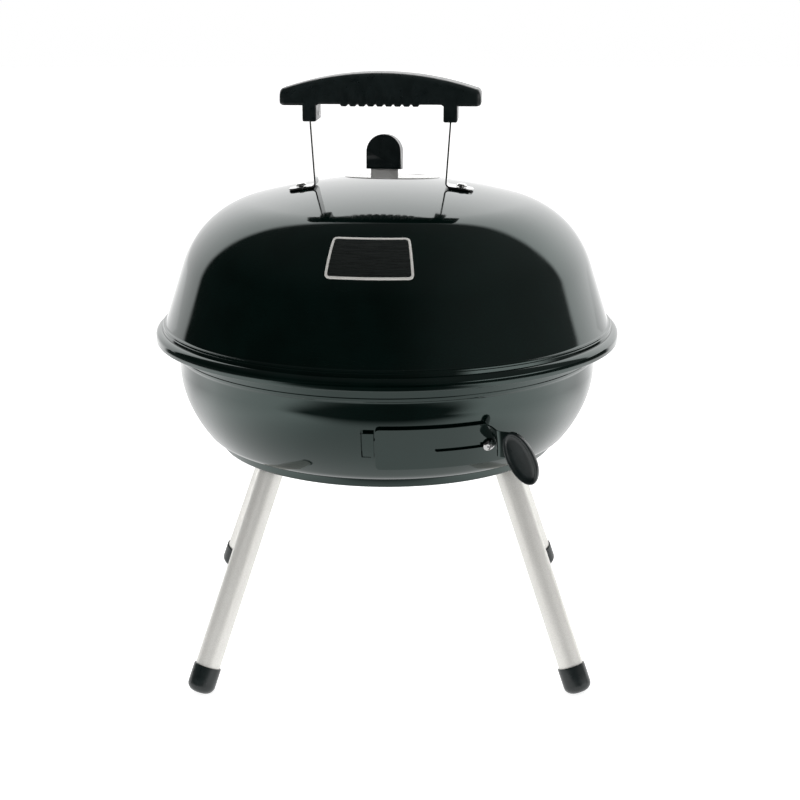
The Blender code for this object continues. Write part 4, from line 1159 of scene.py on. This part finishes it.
def make_floor():
    """A pale table. Mirrors see it brighter towards the front and the sides, and dark in a patch at the
    front middle and past a round edge; the camera sees it plain."""
    bm = bmesh.new()
    bmesh.ops.create_grid(bm, x_segments=1, y_segments=1, size=8.0)
    made = bpy.data.materials.new("pale_floor")
    made.use_nodes = True
    tree = made.node_tree
    tree.nodes.remove(tree.nodes["Principled BSDF"])
    x, y, _ = coordinates(tree, "Object")
    across = calc(tree, "ABSOLUTE", x)
    sides = remap(tree, across, 1.25, 2.2, 0.15, 0.55)
    behind = remap(tree, y, 1.0, 0.68, 0.10, 0.45)
    reach = calc(tree, "SQRT", calc(tree, "ADD", calc(tree, "MULTIPLY", x, x), calc(tree, "MULTIPLY", y, y)))
    beside = calc(tree, "SUBTRACT", y, calc(tree, "MULTIPLY", across, 0.80))
    edge = calc(tree, "MULTIPLY", remap(tree, reach, 0.0, 0.97, 1.00, 1.06),
                remap(tree, beside, 1.0, 0.0, -0.08, 0.14))
    middle = calc(tree, "ABSOLUTE", calc(tree, "ADD", x, 0.1))
    front = calc(tree, "MULTIPLY", remap(tree, y, 0.95, 0.0, -0.72, -0.45),
                 remap(tree, middle, 1.0, 0.0, 0.50, 0.78))
    glow = calc(tree, "MULTIPLY", sides, behind, calc(tree, "SUBTRACT", 1.0, edge),
                calc(tree, "SUBTRACT", 1.0, front))
    table = tree.nodes.new("ShaderNodeEmission")
    tree.links.new(glow, table.inputs["Strength"])
    seen = tree.nodes.new("ShaderNodeEmission")
    seen.inputs["Strength"].default_value = 0.80
    diffuse = tree.nodes.new("ShaderNodeBsdfDiffuse")
    diffuse.inputs["Color"].default_value = (0.8, 0.8, 0.8, 1.0)
    both = tree.nodes.new("ShaderNodeAddShader")
    tree.links.new(seen.outputs[0], both.inputs[0])
    tree.links.new(diffuse.outputs[0], both.inputs[1])
    rays = tree.nodes.new("ShaderNodeLightPath")
    mix = tree.nodes.new("ShaderNodeMixShader")
    tree.links.new(rays.outputs["Is Camera Ray"], mix.inputs[0])
    tree.links.new(table.outputs[0], mix.inputs[1])
    tree.links.new(both.outputs[0], mix.inputs[2])
    tree.links.new(mix.outputs[0], tree.nodes["Material Output"].inputs["Surface"])
    floor = new_object("floor", bm, made)
    floor.location.z = -0.0002


def make_light(name, place, size, power):
    """A soft square lamp aimed at the kettle, which mirrors don't show."""
    lamp = bpy.data.lights.new(name, "AREA")
    lamp.size = size
    lamp.energy = power
    made = linked(name, lamp)
    made.location = place
    made.rotation_mode = "QUATERNION"
    made.rotation_quaternion = (Vector(LAMP_TARGET) - Vector(place)).to_track_quat("-Z", "Y")
    made.visible_glossy = False


def make_camera():
    """The camera stands in front, a little above the lid, looking down on the rim."""
    data = bpy.data.cameras.new("camera")
    data.lens = CAMERA_LENS
    data.sensor_width = 36.0
    data.shift_x = CAMERA_SHIFT
    made = linked("camera", data)
    made.location = CAMERA_PLACE
    made.rotation_euler = (math.pi / 2.0 - CAMERA_TILT, 0.0, 0.0)
    bpy.context.scene.camera = made


def refinish(slots):
    """Gives every CAD node its finish by the name of its material slot."""
    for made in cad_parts.values():
        for slot in made.material_slots:
            name = slot.material.name.split(".")[0] if slot.material else ""
            if name in slots:
                slot.material = slots[name]


# ---- assembly

enamel = make_enamel()
silver = make_silver()
plastic = make_plastic()
zinc = make_zinc()
chrome = make_chrome()
satin = make_satin()
wire_finish = make_wire()
plate_finish = make_plate_finish()
refinish({"black_enamel": enamel, "silver_paint": silver, "black_plastic": plastic, "zinc_plate": zinc,
          "chrome_plate": chrome, "plated_wire": wire_finish, "nameplate_grey": plate_finish})

make_bowl(enamel)
make_lid(enamel)
make_legs(silver, plastic)
make_damper_strip(enamel)
make_paddle(plastic)
make_keeper(enamel)
make_damper_screw(chrome)
make_strap("left", -1.0, chrome)
make_strap("right", 1.0, chrome)
make_grip(plastic)
make_nameplate(plate_finish, silver)
make_vent(satin, plastic)
make_grate("cooking_grid", "cooking_grate", COOKING_RADIUS, COOKING_Z, COOKING_PITCH, wire_finish)
make_grate("charcoal_grid", "charcoal_grate", CHARCOAL_RADIUS, CHARCOAL_Z, CHARCOAL_PITCH, wire_finish)

make_world()
make_floor()
make_light("overhead", (0.0, 0.1, 1.6), 1.4, 9.0)
make_light("front_fill", (-0.7, -1.5, 0.9), 0.9, 9.0)
make_camera()
bpy.context.scene.view_settings.view_transform = "Standard"
